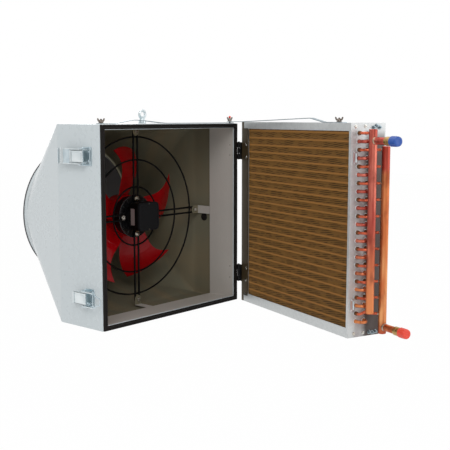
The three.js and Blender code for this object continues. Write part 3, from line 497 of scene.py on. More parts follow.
def galvanised_sheet(name, stained_and_shaded=False):
    """Hot dipped zinc: spangle crystals in slightly different greys. stained_and_shaded adds a thin pinkish
    braze stain between the tubes that is partly painted reflection of the copper, and painted shade, dark
    behind the supply header."""
    look = Look(name, Metallic=0.45)
    spangle = look.cells(170.0) * 0.6 + look.cells(60.0) * 0.4
    drift = look.noise(4.0, 2.0)
    base = look.mix(colour(194, 197, 197), colour(222, 225, 225), spangle * 0.5 + drift * 0.5)
    if stained_and_shaded:
        behind_face = (look.x - PIVOT_X) * math.sin(OPEN) - (look.y - PIVOT_Y) * math.cos(OPEN)
        stain_and_shade_noise = look.noise(26.0, 3.0, (1, 1, 0.5))
        # Pinkish band between the tubes: braze stain, partly painted reflection of the copper tubes.
        thin = (behind_face + (stain_and_shade_noise - 0.5) * 0.03).over(0.012, 0.05) * stain_and_shade_noise.over(0.3, 0.62)
        thin = thin * (1 - look.z.over(-0.15, -0.07))
        base = look.mix(base, colour(132, 114, 112), thin * 0.6)
        # Painted shade: dark behind the supply header, except near its top.
        header_shade = (behind_face + (stain_and_shade_noise - 0.5) * 0.02).over(0.054, 0.074) * (1 - behind_face.over(0.13, 0.138))
        base = look.mix(base, colour(66, 52, 46), header_shade * (1 - look.z.over(-0.085, -0.04)) * 0.92)
    return look.finish(base, 0.34 + spangle * 0.14, spangle, 0.00002)


def copper(name, tone, shade, tarnish, low, low_end, high=None):
    """Drawn copper tube: lengthwise streaks with brown tarnish in patches, turning to low towards the bottom
    and to high near the top."""
    look = Look(name, Metallic=1.0)
    streaks = look.noise(60.0, 4.0, (1, 1, 0.12))
    patch = look.noise(26.0, 3.0, (1, 1, 0.5)).over(0.48, 0.74)
    base = look.mix(colour(*tone), colour(*shade), streaks.over(0.35, 0.65))
    base = look.mix(colour(*low), base, look.z.over(*low_end))
    if high:
        base = look.mix(base, colour(*high), look.z.over(-0.19, -0.16))
    base = look.mix(base, colour(*tarnish), patch * 0.7)
    return look.finish(base, 0.36 + streaks * 0.14 + patch * 0.1, streaks, 0.0002)


def feeder_copper():
    """Feeder tube: olive brown flux stain at the swaged end by the plate, then bright orange copper."""
    look = Look("feeder_copper", Metallic=1.0)
    out = (look.x - PIVOT_X) * -math.cos(OPEN) + (look.y - PIVOT_Y) * -math.sin(OPEN)
    burnt = look.noise(90.0, 3.0)
    stain = 1 - (out + (burnt - 0.5) * 0.006).over(0.666, 0.672)
    base = look.mix(colour(214, 108, 78), colour(150, 66, 48), burnt.over(0.4, 0.7))
    base = look.mix(base, colour(96, 74, 48), stain * 0.85)
    return look.finish(base, 0.24 + burnt * 0.2, burnt, 0.0002)


def fin_stack():
    """Tarnished fins: a lighter line at each row of tubes, and between them short dark ripples that climb,
    painted shade of the gaps between the fins.
    """
    look = Look("coil_fins", Metallic=0.15)
    wave = ((look.z - PART_TOP_ROW) * (TURN * 1000 / ROW_PITCH)).step("COSINE")
    across = look.x * math.cos(OPEN) + look.y * math.sin(OPEN)
    ripple = ((look.z + across * 0.145) * (TURN / 0.0063)).step("SINE")
    short = look.noise(24.0, 2.0, (1, 1, 3)).over(0.36, 0.6)
    patch = look.noise(9.0, 3.0)
    brown = look.mix(colour(164, 121, 66), colour(146, 108, 60), patch)
    # Painted shade: the dark ripples stand for the gaps between the fins.
    hatched = look.mix(brown, colour(78, 60, 36), ripple.over(-0.3, 0.9) * short * (1 - wave.over(0.35, 0.8)))
    base = look.mix(hatched, colour(196, 142, 78), wave.over(0.6, 0.97))
    return look.finish(base, 0.45 + patch * 0.15, wave + ripple * 0.15, 0.0012)


def moulded(name, tone, shade, roughness, grain=900.0, depth=0.00003, specular=0.5):
    """Moulded plastic or rubber: a fine grain and a slow drift of gloss."""
    look = Look(name, Specular_IOR_Level=specular)
    drift, fine = look.noise(12.0, 3.0), look.noise(grain, 2.0)
    base = look.mix(colour(*tone), colour(*shade), drift * 0.7 + fine * 0.2)
    return look.finish(base, roughness + (drift - 0.5) * 0.14 + (fine - 0.5) * 0.08, fine, depth)


def hatched_cover():
    """Black moulded lid with a fine slanting rib on its face; its colour turns lighter and darker along each
    rib, painted light and shade on the ribs.
    """
    look = Look("hatched_cover", Specular_IOR_Level=0.1)
    ribs = ((look.z + look.x) * (TURN * 420)).step("SINE")
    drift = look.noise(18.0, 3.0)
    # Lighter and darker along the ribs: painted light and shade.
    base = look.mix(colour(16, 16, 18), colour(34, 34, 37), ribs.over(0.0, 1.0) * 0.6 + drift * 0.3)
    return look.finish(base, 0.4 + (drift - 0.5) * 0.15, ribs, 0.0004, 0.7)


def dark_interior():
    """The dull inside of the transition: dark olive, with warmer streaks that run along the slope; the olive
    tint and the streaks are painted reflection of the brown coil.
    """
    look = Look("transition_inside", Specular_IOR_Level=0.03)
    streaks = look.noise(7.0, 3.0, (3.0, 0.4, 0.6))
    base = look.mix(colour(118, 114, 96), colour(130, 119, 96), streaks.over(0.4, 0.7))
    return look.finish(base, 0.75 + (streaks - 0.5) * 0.2, look.noise(220.0, 2.0))


paint = painted("casing_paint", (204, 213, 216), (211, 218, 220), 0.28, coat=0.35)
# The inside's olive tint and streaks are painted reflection of the brown coil.
inside = dark_interior()
liner_sheet = rolled("liner_sheet", (204, 199, 192), (184, 178, 171), 0.15, 0.5, (12, 12, 1))
rubber = moulded("black_rubber", (20, 17, 15), (28, 24, 22), 0.7, depth=0.00006, specular=0.2)
black_paint = painted("black_paint", (10, 10, 12), (18, 18, 20), 0.34, specular=0.25)
edge_rubber = moulded("edge_rubber", (52, 52, 54), (66, 66, 68), 0.6)
guard_paint = painted("guard_paint", (7, 7, 7), (13, 12, 12), 0.5, specular=0.12)
black_plastic = moulded("black_plastic", (9, 7, 6), (16, 14, 12), 0.5, specular=0.05)
cover_plastic = hatched_cover()
red_plastic = moulded("red_plastic", (184, 2, 12), (150, 0, 9), 0.22, grain=500.0, specular=0.2)
motor_paint = painted("motor_paint", (12, 12, 14), (20, 20, 22), 0.22, specular=0.55)
# One latch plating in two copies: zinc, greyer and bluer, is painted shade on the latch feet and the bails'
# webs and wire; pale_zinc, whiter, is painted light on the levers and hooks.
zinc = zinc_plated("zinc_plate", (220, 230, 234), (180, 197, 205), (132, 184, 200), 0.34)
pale_zinc = zinc_plated("pale_zinc", (238, 243, 244), (208, 217, 220), (188, 206, 212), 0.34)
strap_zinc = zinc_plated("strap_zinc", (166, 178, 183), (138, 150, 157), (146, 166, 176), 0.34)
steel = zinc_plated("plated_steel", (150, 142, 134), (92, 84, 78), (124, 108, 96), 0.3)
bright_steel = zinc_plated("bright_steel", (236, 234, 228), (188, 184, 176), (206, 196, 178), 0.24)
galvanised = galvanised_sheet("galvanised_sheet")
stained_shaded_plate = galvanised_sheet("braze_stain_and_shade_plate", stained_and_shaded=True)
fin_look = fin_stack()
# Dark olive for the coil's front lip and the hinge leaf on it: painted shade and reflection of the brown
# fins.
shaded_lip_olive = rolled("shaded_lip", (84, 70, 46), (66, 55, 36), 0.3, 0.5, (14, 14, 1))
red_copper = copper(
    "copper_tube", (216, 122, 104), (176, 78, 68), (116, 48, 42), (228, 144, 92), (-0.62, -0.3),
)
# A lighter, more orange copper for the return header.
orange_copper = copper(
    "copper_tube_orange", (238, 170, 112), (214, 124, 76), (150, 70, 46), (182, 88, 62), (-0.67, -0.62),
    high=(188, 84, 70),
)
brown_copper = feeder_copper()
brass = zinc_plated("brass_fitting", (192, 160, 104), (158, 128, 80), (128, 100, 66), 0.34)
solder = zinc_plated("solder", (196, 190, 178), (150, 140, 124), (206, 170, 130), 0.4)
damper_grey = painted("damper_grey", (112, 112, 116), (126, 126, 130), 0.24)
blue_plastic = moulded("blue_cap_plastic", (44, 92, 178), (36, 76, 156), 0.42)
red_cap_plastic = moulded("red_cap_plastic", (244, 84, 64), (226, 62, 46), 0.42)
label_strip = moulded("label_strip", (128, 110, 108), (148, 132, 130), 0.5)

slot_looks = {
    "casing_paint": paint,
    "liner_sheet": liner_sheet,
    "black_rubber": rubber,
    "black_paint": black_paint,
    "black_plastic": black_plastic,
    "red_plastic": red_plastic,
    "zinc_plate": zinc,
    "plated_steel": steel,
    "galvanised_sheet": galvanised,
    "coil_fins": fin_look,
    "copper_tube": red_copper,
    "brass_fitting": brass,
    "damper_grey": damper_grey,
    "blue_cap_plastic": blue_plastic,
    "red_cap_plastic": red_cap_plastic,
}
own_looks = {"connection_plate": stained_shaded_plate, "door_stay": strap_zinc}
for row in frame["record"]["subparts"]:
    materials = frame["nodes"][row["node"]].data.materials
    materials.clear()
    materials.append(own_looks.get(row["node"], slot_looks[row["material_slot"]]))


# ---------- casing ----------
def casing_skin():
    """One closed skin of rings: the outside from the front lip over the walls and the transition to the rim
    of the spigot, and then the inside back to the lip, which has the second material, dark olive with painted
    reflection of the coil."""
    lip = [
        (1.5, FRONT_OPENING), (0.3, FRONT_OPENING), (0.0, 307.6), (0.0, 322.4), (0.35, 323.8),
        (1.4, 324.7), (3.0, HALF), (8.0, HALF), (100.0, HALF), (198.0, HALF),
    ]
    shares = [0.0, 0.02, 0.06, 0.12, 0.2, 0.3, 0.4, 0.5, 0.6, 0.7, 0.8, 0.88, 0.94, 0.98, 1.0]
    rim = [(494.0, SPIGOT), (507.4, SPIGOT), (SPIGOT_END, 244.6)]
    inner_rim = [(SPIGOT_END, 243.9), (507.4, SPIGOT_BORE)]
    back = [(190.0, WALL_INSIDE), (3.2, WALL_INSIDE), (1.6, 322.2), (1.5, 320.0)]
    outside = [ring(y, half) for y, half in lip]
    outside += [ring(TAPER_FROM + TAPER_LENGTH * s, HALF, SPIGOT, s) for s in shares]
    outside += [ring(y, HALF, radius, 1.0) for y, radius in rim]
    within = [ring(y, HALF, radius, 1.0) for y, radius in inner_rim]
    within += [ring(TAPER_FROM + TAPER_LENGTH * s, WALL_INSIDE, SPIGOT_BORE, s) for s in shares[::-1]]
    within += [ring(y, half) for y, half in back]
    points, quads = grid(np.array(outside + within), along=True)
    if inward(points, quads):
        quads = quads[:, ::-1]
    faces = np.split(quads, [len(outside) * len(outside[0])])
    return [(points, part.tolist(), kind) for kind, part in enumerate(faces)]


piece(
    "casing_skin", "casing", [paint, inside],
    casing_skin(), ["box_shell", "transition_shell"], crease=50,
)


def gasket_loop():
    """Rubber strip with two long beads on its face, pressed flat under the coil's two hinge leaves."""
    across = np.linspace(0, 1, 25)
    face = -5.9 - 2.1 * np.abs(np.sin(across * TURN)) ** 0.7
    section = [(GASKET_OUT - GASKET_WIDTH * t, y) for t, y in zip(across, face)]
    inner = GASKET_OUT - GASKET_WIDTH
    section += [(inner, -0.6), (inner + 0.4, -0.3), (GASKET_OUT - 0.4, -0.3), (GASKET_OUT, -0.6)]
    points, faces, kind = square_loop(section)
    reach = LEAF_HALF + 2 + 2 * GASKET_OUT / SIDE_STEPS
    for z in FITTING_Z.values():
        under = (points[:, 0] > 299) & (np.abs(points[:, 2] - z) < reach)
        points[under, 1] = np.maximum(points[under, 1], -5.85)
    return points, faces, kind


piece("door_gasket_strip", "casing", [rubber], [gasket_loop()], ["door_gasket"], crease=60)


def edge_trim():
    """U section pushed over the rim of the spigot, rounded outside."""
    outline = [
        (0.3, -3.5), (1.4, -3.5), (1.4, 1.4), (-2.9, 1.4),
        (-2.9, -3.5), (-1.8, -3.5), (-1.8, 0.3), (0.3, 0.3),
    ]
    profile = soften(outline, [0.3, 0.5, 1.1, 1.1, 0.5, 0.3, 0.2, 0.2]) + (SPIGOT, SPIGOT_END)
    return turned(profile, AXIS, 144)


piece("outlet_edge_trim", "casing", [edge_rubber], [edge_trim()], ["outlet_trim"])


def liner_panels():
    """The liner: a flange behind the lip, four walls, and in the middle of each a tongue to a tab with a
    round end; the tabs take the dark inside colour, painted shade."""
    section = [
        (323.2, 1.8), (323.2, 3.3), (LINER_OUT, 3.3), (LINER_OUT, LINER_BACK), (LINER_IN, LINER_BACK),
        (LINER_IN, 1.8),
    ]
    shapes = [square_loop(section)]
    w = 14.5
    end = np.linspace(math.pi / 2, 1.5 * math.pi, 15)
    round_end = np.column_stack([GUARD_BOLTS - 1 + w * np.cos(end), w * np.sin(end)])
    tab = np.concatenate([[(LINER_IN + 1, -w), (LINER_IN + 1, w)], round_end])
    for k in range(4):
        # The tabs take the dark inside look: painted shade.
        shapes.append(prism(quarter(tab, k), TAB_Y - 1.5, TAB_Y, "y", kind=1))
        shapes.append(prism(quarter(corners(LINER_IN, LINER_OUT, -w, w), k), LINER_BACK - 1, TAB_Y, "y"))
    return shapes


piece("liner_panels", "casing", [liner_sheet, inside], liner_panels(), ["inner_liner"])


def liner_rivets():
    """Low round rivet heads along the front of the liner's side walls."""
    shapes = []
    for height in (82, 124, 534, 571):
        for side in (-1, 1):
            dome = [(r, -side * h) for r, h in ((0, 0.0), (2.4, 0.0), (2.3, 0.5), (1.5, 1.0), (0, 1.2))]
            shapes.append(turned(dome, (side * (LINER_IN - 0.1), 22.5, height), 16, "x"))
    return shapes


piece("liner_rivets", "casing", [bright_steel], liner_rivets())


# ---------- guard, motor and terminal box ----------
def wire_loop(path, radius):
    """A closed wire: a circle carried round a closed path that is flat in y."""
    ahead = np.roll(path, -1, 0) - np.roll(path, 1, 0)
    ahead /= np.linalg.norm(ahead, axis=1)[:, None]
    up = np.array([0.0, 1.0, 0.0])
    side = np.cross(ahead, up)[:, None]
    angle = np.linspace(0, TURN, 12, endpoint=False)[None, :, None]
    return skin(path[:, None] + radius * (np.cos(angle) * side + np.sin(angle) * up), along=True)


def guard_wires():
    """Three rings, and four pairs of spokes whose ends run round a bolt, with a weld at each crossing."""
    rings = (278, 198, 103)
    shapes = [torus(radius, 3.0, (0, GUARD_Y, MIDDLE), 160) for radius in rings]
    bends = []
    for start, radius in ((math.pi / 2, MOTOR_BOLTS), (-math.pi / 2, GUARD_BOLTS)):
        angle = np.linspace(start, start + math.pi, 13)
        bends.append(np.column_stack([radius + SPOKE_APART * np.cos(angle), SPOKE_APART * np.sin(angle)]))
    inner, outer = bends
    straight = np.linspace(0, 1, 9)[1:-1, None]
    lower = inner[-1] + straight * (outer[0] - inner[-1])
    upper = outer[-1] + straight * (inner[0] - outer[-1])
    path = np.concatenate([inner, lower, outer, upper])
    weld = soften([(0, -3.2), (3.4, -3.2), (3.9, 0), (3.4, 2.6), (0, 2.6)], 1.2)
    crossings = [(radius, side * SPOKE_APART) for radius in rings for side in (-1, 1)]
    for k in range(4):
        shapes.append(wire_loop(np.insert(quarter(path, k), 1, SPOKE_Y, axis=1), 3.5))
        shapes += [turned(weld, (x, GUARD_Y - 1.6, z), 14) for x, z in quarter(crossings, k)]
    return shapes


def guard_bolt(x, z):
    """Hexagon bolt through a tongue of the liner, with a washer and a nut behind the wires."""
    at = (x, 0, z)
    return [
        hexagon(13, at, TAB_Y - 6.8, TAB_Y - 1.8),
        rod(4, (x, TAB_Y - 2, z), (x, FLANGE_Y + 8, z)),
        washer(11, 4, FLANGE_Y, FLANGE_Y + 1.6, at),
        hexagon(13, at, FLANGE_Y + 1.6, FLANGE_Y + 7),
    ]


piece("guard_wires", "casing", [guard_paint], guard_wires(), ["fan_guard"])
for side, (x, z) in {"right": (1, 0), "bottom": (0, -1), "left": (-1, 0), "top": (0, 1)}.items():
    piece(
        "guard_bolt_set_" + side, "casing", [bright_steel],
        guard_bolt(GUARD_BOLTS * x, MIDDLE + GUARD_BOLTS * z), ["guard_bolt_" + side],
    )


def motor_body():
    """The motor's fixed front: a dished flange with a rim, radial ribs and a core that carries the
    bearings."""
    front = [(0, 0), (34, 0), (36, 1.5), (44, 1.5), (46, 0), (76, 0)]
    back = [(76, 6), (48, 6), (48, 54), (13.3, 54), (13.3, 4), (0, 4)]
    profile = soften(front + back, [0, 1, 1, 1, 1, 2, 1.5, 1, 1.5, 1, 0.5, 0], 3)
    shapes = [turned(profile + (0, FLANGE_Y), AXIS, 96)]
    for angle in (np.arange(16) + 0.5) * TURN / 16:
        if abs(math.remainder(angle, TURN / 4)) > 0.3:
            shapes.append(rod(1.5, *(round_axis(angle, r, FLANGE_Y - 0.2) for r in (48, 72)), 10))
    return shapes


def motor_nuts():
    """Stud, washer and hexagon nut on the end of each pair of spokes."""
    shapes = []
    front = SPOKE_Y - 3.3
    for k in range(4):
        x, z = quarter([(MOTOR_BOLTS, 0)], k)[0]
        shapes += [
            washer(10, 4, front - 1.6, front, (x, 0, z)),
            hexagon(11.5, (x, 0, z), front - 7, front - 1.6),
            rod(3.4, (x, front - 8.5, z), (x, FLANGE_Y, z)),
        ]
    return shapes


piece("motor_front", "casing", [motor_paint], motor_body(), ["motor_stator"])
piece("motor_nuts", "casing", [bright_steel], motor_nuts())


def box_row(outline, y, scale=1.0):
    """An outline across the terminal box at y, scaled about the middle of the box."""
    a, b = outline.T * scale
    return np.column_stack([a, np.full(len(a), y), BOX_Z + b])


def terminal_case():
    """The back of the terminal box: an open tray with round corners, on a round neck to the motor."""
    w, h, wall, mouth, floor_y, back = 46.5, 48.0, 3, 130.8, 168.5, 171.5
    outer = soften(corners(-w, w, -h, h), 15, 6)
    inner = soften(corners(wall - w, w - wall, wall - h, h - wall), 12, 6)
    rows = [
        (inner, floor_y, 0), (inner, floor_y), (inner, mouth), (outer, mouth),
        (outer, back - 2.1), (outer, back - 0.6, 0.985), (outer, back, 0.96), (outer, back, 0),
    ]
    neck = [(0, 171), (31, 171), (30, 173), (30, 189), (32, FLANGE_Y - 0.3), (0, FLANGE_Y - 0.3)]
    return [skin([box_row(*row) for row in rows]), turned(neck, AXIS, 48)]


def terminal_lid():
    """The lid as one closed skin: its hollow, a raised rim with round corners and a sunk panel. Each row is
    the outline, drawn in by a distance, at a y."""
    w, h = 48.0, 49.0
    outline = soften(corners(-w, w, -h, h), 17, 8)
    rows = [
        (w, 124.5), (4, 124.5), (4, 130.5), (0, 130.5), (0, 123.5), (0.7, 121.7), (2.2, 121),
        (5, 121), (5.8, 121.9), (6.4, 121.9), (20, 121.9), (w, 121.9),
    ]
    return skin([box_row(outline, y, 1 - inset / w) for inset, y in rows])


def lid_screws():
    """The two round screw heads on the lid's rim."""
    head = soften([(0, 119.6), (2.8, 119.6), (3.1, 121.2), (3.1, 123), (0, 123)], [0, 0.9, 0.3, 0, 0], 3)
    return [turned(head, (0, 0, BOX_Z + z), 20) for z in (45, -45)]


piece("terminal_case", "casing", [black_plastic], terminal_case(), ["terminal_box"])
piece("terminal_lid", "casing", [cover_plastic], [terminal_lid()], ["terminal_box_cover"])
piece("terminal_lid_screws", "casing", [steel], lid_screws())
label = block(-46.9, -46.4, 146, 165, BOX_Z - 30, BOX_Z + 28)
piece("blank_label", "casing", [label_strip], [label], bevel=0.1)


# ---------- fan ----------
def blade(phase):
    """A sickle blade: its chord narrows and sweeps back in the middle of its length, and its surface climbs
    along the axis by the pitch; the two faces bulge apart by a crown that thins towards the edges."""
    t = np.linspace(0, 1, 73)[:, None, None]
    v = np.linspace(0, 1, 25)[None, :, None]
    face = np.array([-1.0, 1.0])[None, None, :]
    pitch = math.radians(24)
    radius = HUB_RIM + t * (TIP - HUB_RIM)
    width = 60 - 19 * t - 8 * np.sin(math.pi * t)
    turn = (0.5 - v) * width
    angle = np.radians(phase - 10 * np.sin(math.pi * t) + turn)
    crown = face * 1.2 * np.sqrt(np.maximum(0, 1 - 0.97 * (2 * v - 1) ** 4)) * (1 - 0.35 * t)
    camber = 3.2 * np.sin(math.pi * v) * np.sin(math.pi * (0.15 + 0.85 * t))
    ridges = sum(0.7 * np.exp(-(((radius - at) / 2.6) ** 2)) for at in (112, 137, 168)) * np.sin(math.pi * v)
    y = FAN_Y - np.radians(turn) * radius * math.tan(pitch) + crown - camber * 0.35 - ridges
    one = np.ones_like(y)
    points = np.stack([radius * np.cos(angle) * one, y, MIDDLE + radius * np.sin(angle) * one], -1)
    front, back = points[:, :, 0], points[:, :, 1]
    root, tip = ((front[end] + back[end]) / 2 for end in (0, -1))
    root, tip = (np.concatenate([line, line[::-1]])[None] for line in (root, tip))
    return skin(np.concatenate([root, np.concatenate([front, back[:, ::-1]], 1), tip]))


def hub():
    """The hub: a short drum with a rolled front lip and three steps."""
    outline = [
        (HUB_INNER, 230), (70.2, 229.6), (HUB_OUTER, 231.5), (HUB_OUTER, 240), (72.4, 241), (72.4, 244),
        (HUB_OUTER, 245), (HUB_OUTER, 284.5), (70.2, 286), (HUB_INNER, 285.6),
    ]
    return turned(soften(outline, 0.6, 3), AXIS, 96)


def rotor_can():
    """The motor's turning can, with a rounded back edge and shallow cooling grooves."""
    outline = [(6.3, 281.5), (54, 281.5), (54, 200.5), (68, 200.5), (68, 285.5), (6.3, 285.5)]
    shapes = [turned(soften(outline, [0.5, 2, 1, 2, 4, 0.5]), AXIS, 96)]
    for k in range(24):
        shapes.append(rod(1.2, *(round_axis(k * TURN / 24, r, 285.2) for r in (28, 58)), 8))
    return shapes


piece(
    "fan_blades", "fan_rotor", [red_plastic],
    [hub()] + [blade(87 + 72 * k) for k in range(5)], ["fan_wheel"], crease=50,
)
piece("rotor_can", "fan_rotor", [black_paint], rotor_can(), ["rotor_cup"])


# ---------- hanging eye, grommet, studs, strap ----------
def hanging_eye():
    """A welded ring on a neck and a round foot, with a weld bead where they meet."""
    outline = [(0, 0), (13, 0), (13, 7), (11.5, 9), (10, 11), (9, 16.7), (6, 18.7), (0, 18.7)]
    profile = soften(outline, [0, 0.8, 2, 1.5, 1.5, 1, 1, 0]) + (0, STRAP_Z)
    lathe = turned(profile, (0, EYE[1], 0), 48, "z")
    return [lathe, torus(13, 5, EYE, 64, "y", 24), torus(6.6, 1.6, (0, EYE[1], 668.2), 32, "z", 10)]


piece("hanging_eye_forged", "casing", [pale_zinc], hanging_eye(), ["hanging_eye"], crease=60)


def grommet_shape():
    """Two rounded rubber flanges and the groove that holds the sheet, with a small dished end."""
    outline = [
        (0, 320), (9, 320), (14, 320.2), (14, 323.2), (11, 323.2), (11, 325.3),
        (14, 325.3), (14, 328.3), (9, 328.3), (7, 326.5), (0, 326.5),
    ]
    return turned(soften(outline, [0, 1, 1.4, 0.6, 0.1, 0.1, 0.6, 1.4, 1, 1, 0], 3), (0, 157, 297), 36, "x")


piece("cable_grommet_rubber", "casing", [rubber], [grommet_shape()], ["cable_grommet"])


def stud_shape(x, y, base, height):
    """A threaded stud with a low head under the sheet; the thread is a row of fine rings."""
    top = base + height
    outline = [(0, base - 3.4), (8.6, base - 3.4), (9, base - 3), (9, base - 1.9), (2.9, base - 1.8)]
    for z in np.arange(base + 2, top - 1, 0.9):
        outline += [(3.0, z), (2.72, z + 0.45)]
    return turned(outline + [(2.4, top), (0, top)], (x, y, 0), 20, "z")


def wing_nut(x, y, seat, angle=0.0):
    """A cast wing nut just over its seat: a tapered hub on a washer, and two rounded ears that lean
    outwards."""
    barrel = [(3.3, 1.6), (6.6, 1.6), (6.3, 4), (4.9, 9.6), (4.3, 10.6), (3.3, 10.6)]
    ear = [(3.8, 2.2), (7, 2.6), (12.5, 6.5), (15, 13.5), (13.4, 16.0), (10.8, 14.6), (8.6, 9.6), (4.3, 9.0)]
    ear = soften(ear, [0.3, 2, 3, 2, 1.4, 2, 3, 0.3], 5)
    shapes = [
        turned(soften(corners(3.3, 9, 0, 1.6), 0.4, 2), (0, 0, 0), 32, "z"),
        turned(soften(barrel, 0.6, 3), (0, 0, 0), 32, "z"),
        *(prism(ear * [side, 1], -1.4, 1.4, "y") for side in (1, -1)),
    ]
    return moved(shapes, (x, y, seat + 0.3), angle)


for side, x, height in (("left", -STUD_X, 16), ("right", STUD_X, 19)):
    stud = stud_shape(x, STUD_Y, SHEET_TOP, height)
    piece(side + "_stud_thread", "casing", [steel], [stud], [side + "_stud"])
for side, x, seat in (("left", -STUD_X, STRAP_TOP), ("right", STUD_X, STAY_TOP)):
    piece(
        side + "_wing_nut_cast", side + "_nut", [steel],
        wing_nut(x, STUD_Y, seat), [side + "_wing_nut"], bevel=0.5,
    )
tip = soften([(0, 668.6), (4.2, 668.6), (4.2, 674), (0, 676)], [0, 0.8, 2, 0])
piece(
    "right_stud_tip", "casing", [red_cap_plastic],
    [turned(tip, (STUD_X, STUD_Y, 0), 24, "z")],
)


def strip(path, width, thickness, across):
    """A flat strip along a path in x and z, with round ends in plan and soft edges; across is its y."""
    reach = np.concatenate([[0], np.cumsum(np.linalg.norm(np.diff(path, axis=0), axis=1))])
    end = np.minimum(reach, reach[-1] - reach)
    half, edge = width / 2, 0.35
    wide = np.where(end < half, np.sqrt(np.maximum(0.0, half**2 - (half - end) ** 2)), half)
    sides = []
    for inset, low in ((edge, 0.0), (0.0, edge), (0.0, thickness - edge), (edge, thickness)):
        sides.append((-np.maximum(0.0, wide - inset), low))
    sides += [(-w, low) for w, low in sides[::-1]]
    lines = [np.column_stack([path[:, 0], across + w, path[:, 1] + low]) for w, low in sides]
    return skin(np.stack(lines, 1))


def strap_path():
    """The strap's underside in x and z: level, with one low bump that rises and falls as a smooth step."""
    reach, peak, start, end, bow = 323, -170, -259, -11, 10.5
    tips = np.array([0, 0.4, 1.2, 2.4, 4, 6, 8])
    x = np.concatenate([tips - reach, np.linspace(9 - reach, reach - 9, 90), reach - tips[::-1]])
    rise = np.clip(np.where(x < peak, (x - start) / (peak - start), (end - x) / (end - peak)), 0, 1)
    return np.column_stack([x, STRAP_Z + bow * rise * rise * (3 - 2 * rise)])


piece(
    "top_strap_bent", "casing", [strap_zinc],
    [strip(strap_path(), 18, STRAP_TOP - STRAP_Z, STUD_Y)], ["top_strap"],
)


# ---------- toggle latches, drawn about the lever's pin and the bail's pins ----------
def latch_base():
    """A bent foot riveted to the wall with two ears, the lever's pin with round bosses, and the bail's
    pins."""
    plan = soften(corners(-26, 20, -29.6, 29.6), [5, 3, 3, 5], 5)
    ear = [(-11, -3), (-11, 10), (-7, 14), (4, 14), (WALL - 1, 14), (WALL - 1, -8), (-6, -8)]
    boss = soften([(0, 26.9), (3.4, 26.9), (3.2, 29.3), (0, 29.3)], [0, 0.2, 0.9, 0], 3)
    rivet = [(0, WALL - 4.0), (3.4, WALL - 3.4), (3.6, WALL - 1.9), (0, WALL - 1.9)]
    rib = [(WALL - 1.9, -21), (WALL - 3.6, -19.6), (WALL - 3.6, -18.4), (WALL - 1.9, -17)]
    shapes = [
        prism(plan, WALL - 2, WALL, "x"), prism(soften(rib, 0.5, 2), -24, 24),
        rod(2, (0, 0, -25.5), (0, 0, 25.5), 16),
        *both_sides(soften(ear, [3, 3, 2, 2, 0.1, 0.1, 4]), 24.6, 27.1),
    ]
    for side in (-1, 1):
        shapes.append(turned(boss * [1, side], (0, 0, 0), 20, "z"))
        shapes.append(rod(1.8, (-7, 6, side * 21.8), (-7, 6, side * 25.5), 14))
        shapes.append(turned(soften(rivet, [0, 1, 0.2, 0], 3), (0, -11, side * 14), 20, "x"))
    return shapes


def latch_lever():
    """The lever: a channel with a raised middle panel, cheeks that taper to its end and a rolled lip."""
    w, foot, end = 18.7, -7, 49
    web = soften(corners(-8.5, -7, foot, end), 0.3, 2)
    panel = soften(corners(-9.7, -8.3, -1, 44), [1.2, 0, 0, 1.2], 3)
    cheek = soften([(-8.5, foot), (-8.5, end), (-3, end), (5, 8), (5, -5), (2, foot)], [2, 1, 2, 4, 3, 2])
    lip = soften([(-11.2, 47.6), (-8, 47), (-7, end), (-7.6, 52.6), (-11.2, 53)], 1.2)
    return [prism(web, -w, w), prism(panel, -11.5, 11.5), *both_sides(cheek, w - 1.5, w), prism(lip, -w, w)]


def latch_rails(end):
    """The two flat rails that hang on the bail's pins and run to a distance end from them."""
    rail = [(-4.4, 0), (-3.2, 3.6), (0, 4.6), (3.2, 3.6), (4.4, 0), (3, -end), (-3, -end)]
    return both_sides(soften(rail, [1, 1.5, 2, 1.5, 1, 0, 0]), 21.8, 24.3)


def arc(*points):
    """A quadratic curve from the first of three points to the last, drawn towards the middle one."""
    t = np.linspace(0, 1, 13)[:, None]
    start, control, end = map(np.array, points)
    return (1 - t) ** 2 * start + 2 * t * (1 - t) * control + t**2 * end


def hook_bail():
    """Rails to a broad lip that curls towards the wall, and a ribbed web between the rails."""
    outer, inner = arc((-3, -79), (-3, -97), (11, -97)), arc((11.5, -92.6), (0, -92.2), (-0.6, -79))
    lip = np.concatenate([outer, [(13, -96.2), (13, -93)], inner])
    shapes = latch_rails(83) + [prism(lip, -24.3, 24.3), block(0.6, 2.0, -80, -50, -22, 22, kind=1)]
    return shapes + [rod(1.1, (0.7, -79, z), (0.7, -51, z), 8, kind=1) for z in np.linspace(-15, 15, 6)]


def wire_bail():
    """Short rails, and from them a wire that runs in to a narrow loop with round corners."""
    half = [(-44, 23), (-51, 22.6), (-57, 20), (-63, 15), (-70, 12.4), (-77, 11.4), (-81, 7)]
    path = curve([(0, y, z) for y, z in half] + [(0, y, -z) for y, z in half[::-1]], 6)
    return latch_rails(48) + [tube(path, 1.9, 12, kind=1)]


# The feet and the bails' webs and wire take the shaded copy of the plating, the levers and hooks the lit one:
# painted shade and light.
for which, bail, turn in (("upper", hook_bail(), math.pi), ("lower", wire_bail(), 0.0)):
    at, pins = (LATCH_X, LATCH_Y, FITTING_Z[which]), (BAIL_X, BAIL_Y, FITTING_Z[which])
    piece(
        which + "_latch_foot", "casing", [zinc],
        moved(latch_base(), at), [which + "_latch_base"], bevel=0.35,
    )
    piece(
        which + "_latch_handle", which + "_lever", [pale_zinc],
        moved(latch_lever(), at), [which + "_latch_lever"], bevel=0.3,
    )
    piece(
        which + "_latch_hook", which + "_bail", [pale_zinc, zinc],
        moved(bail, pins, turn), [which + "_latch_bail"], bevel=0.35,
    )


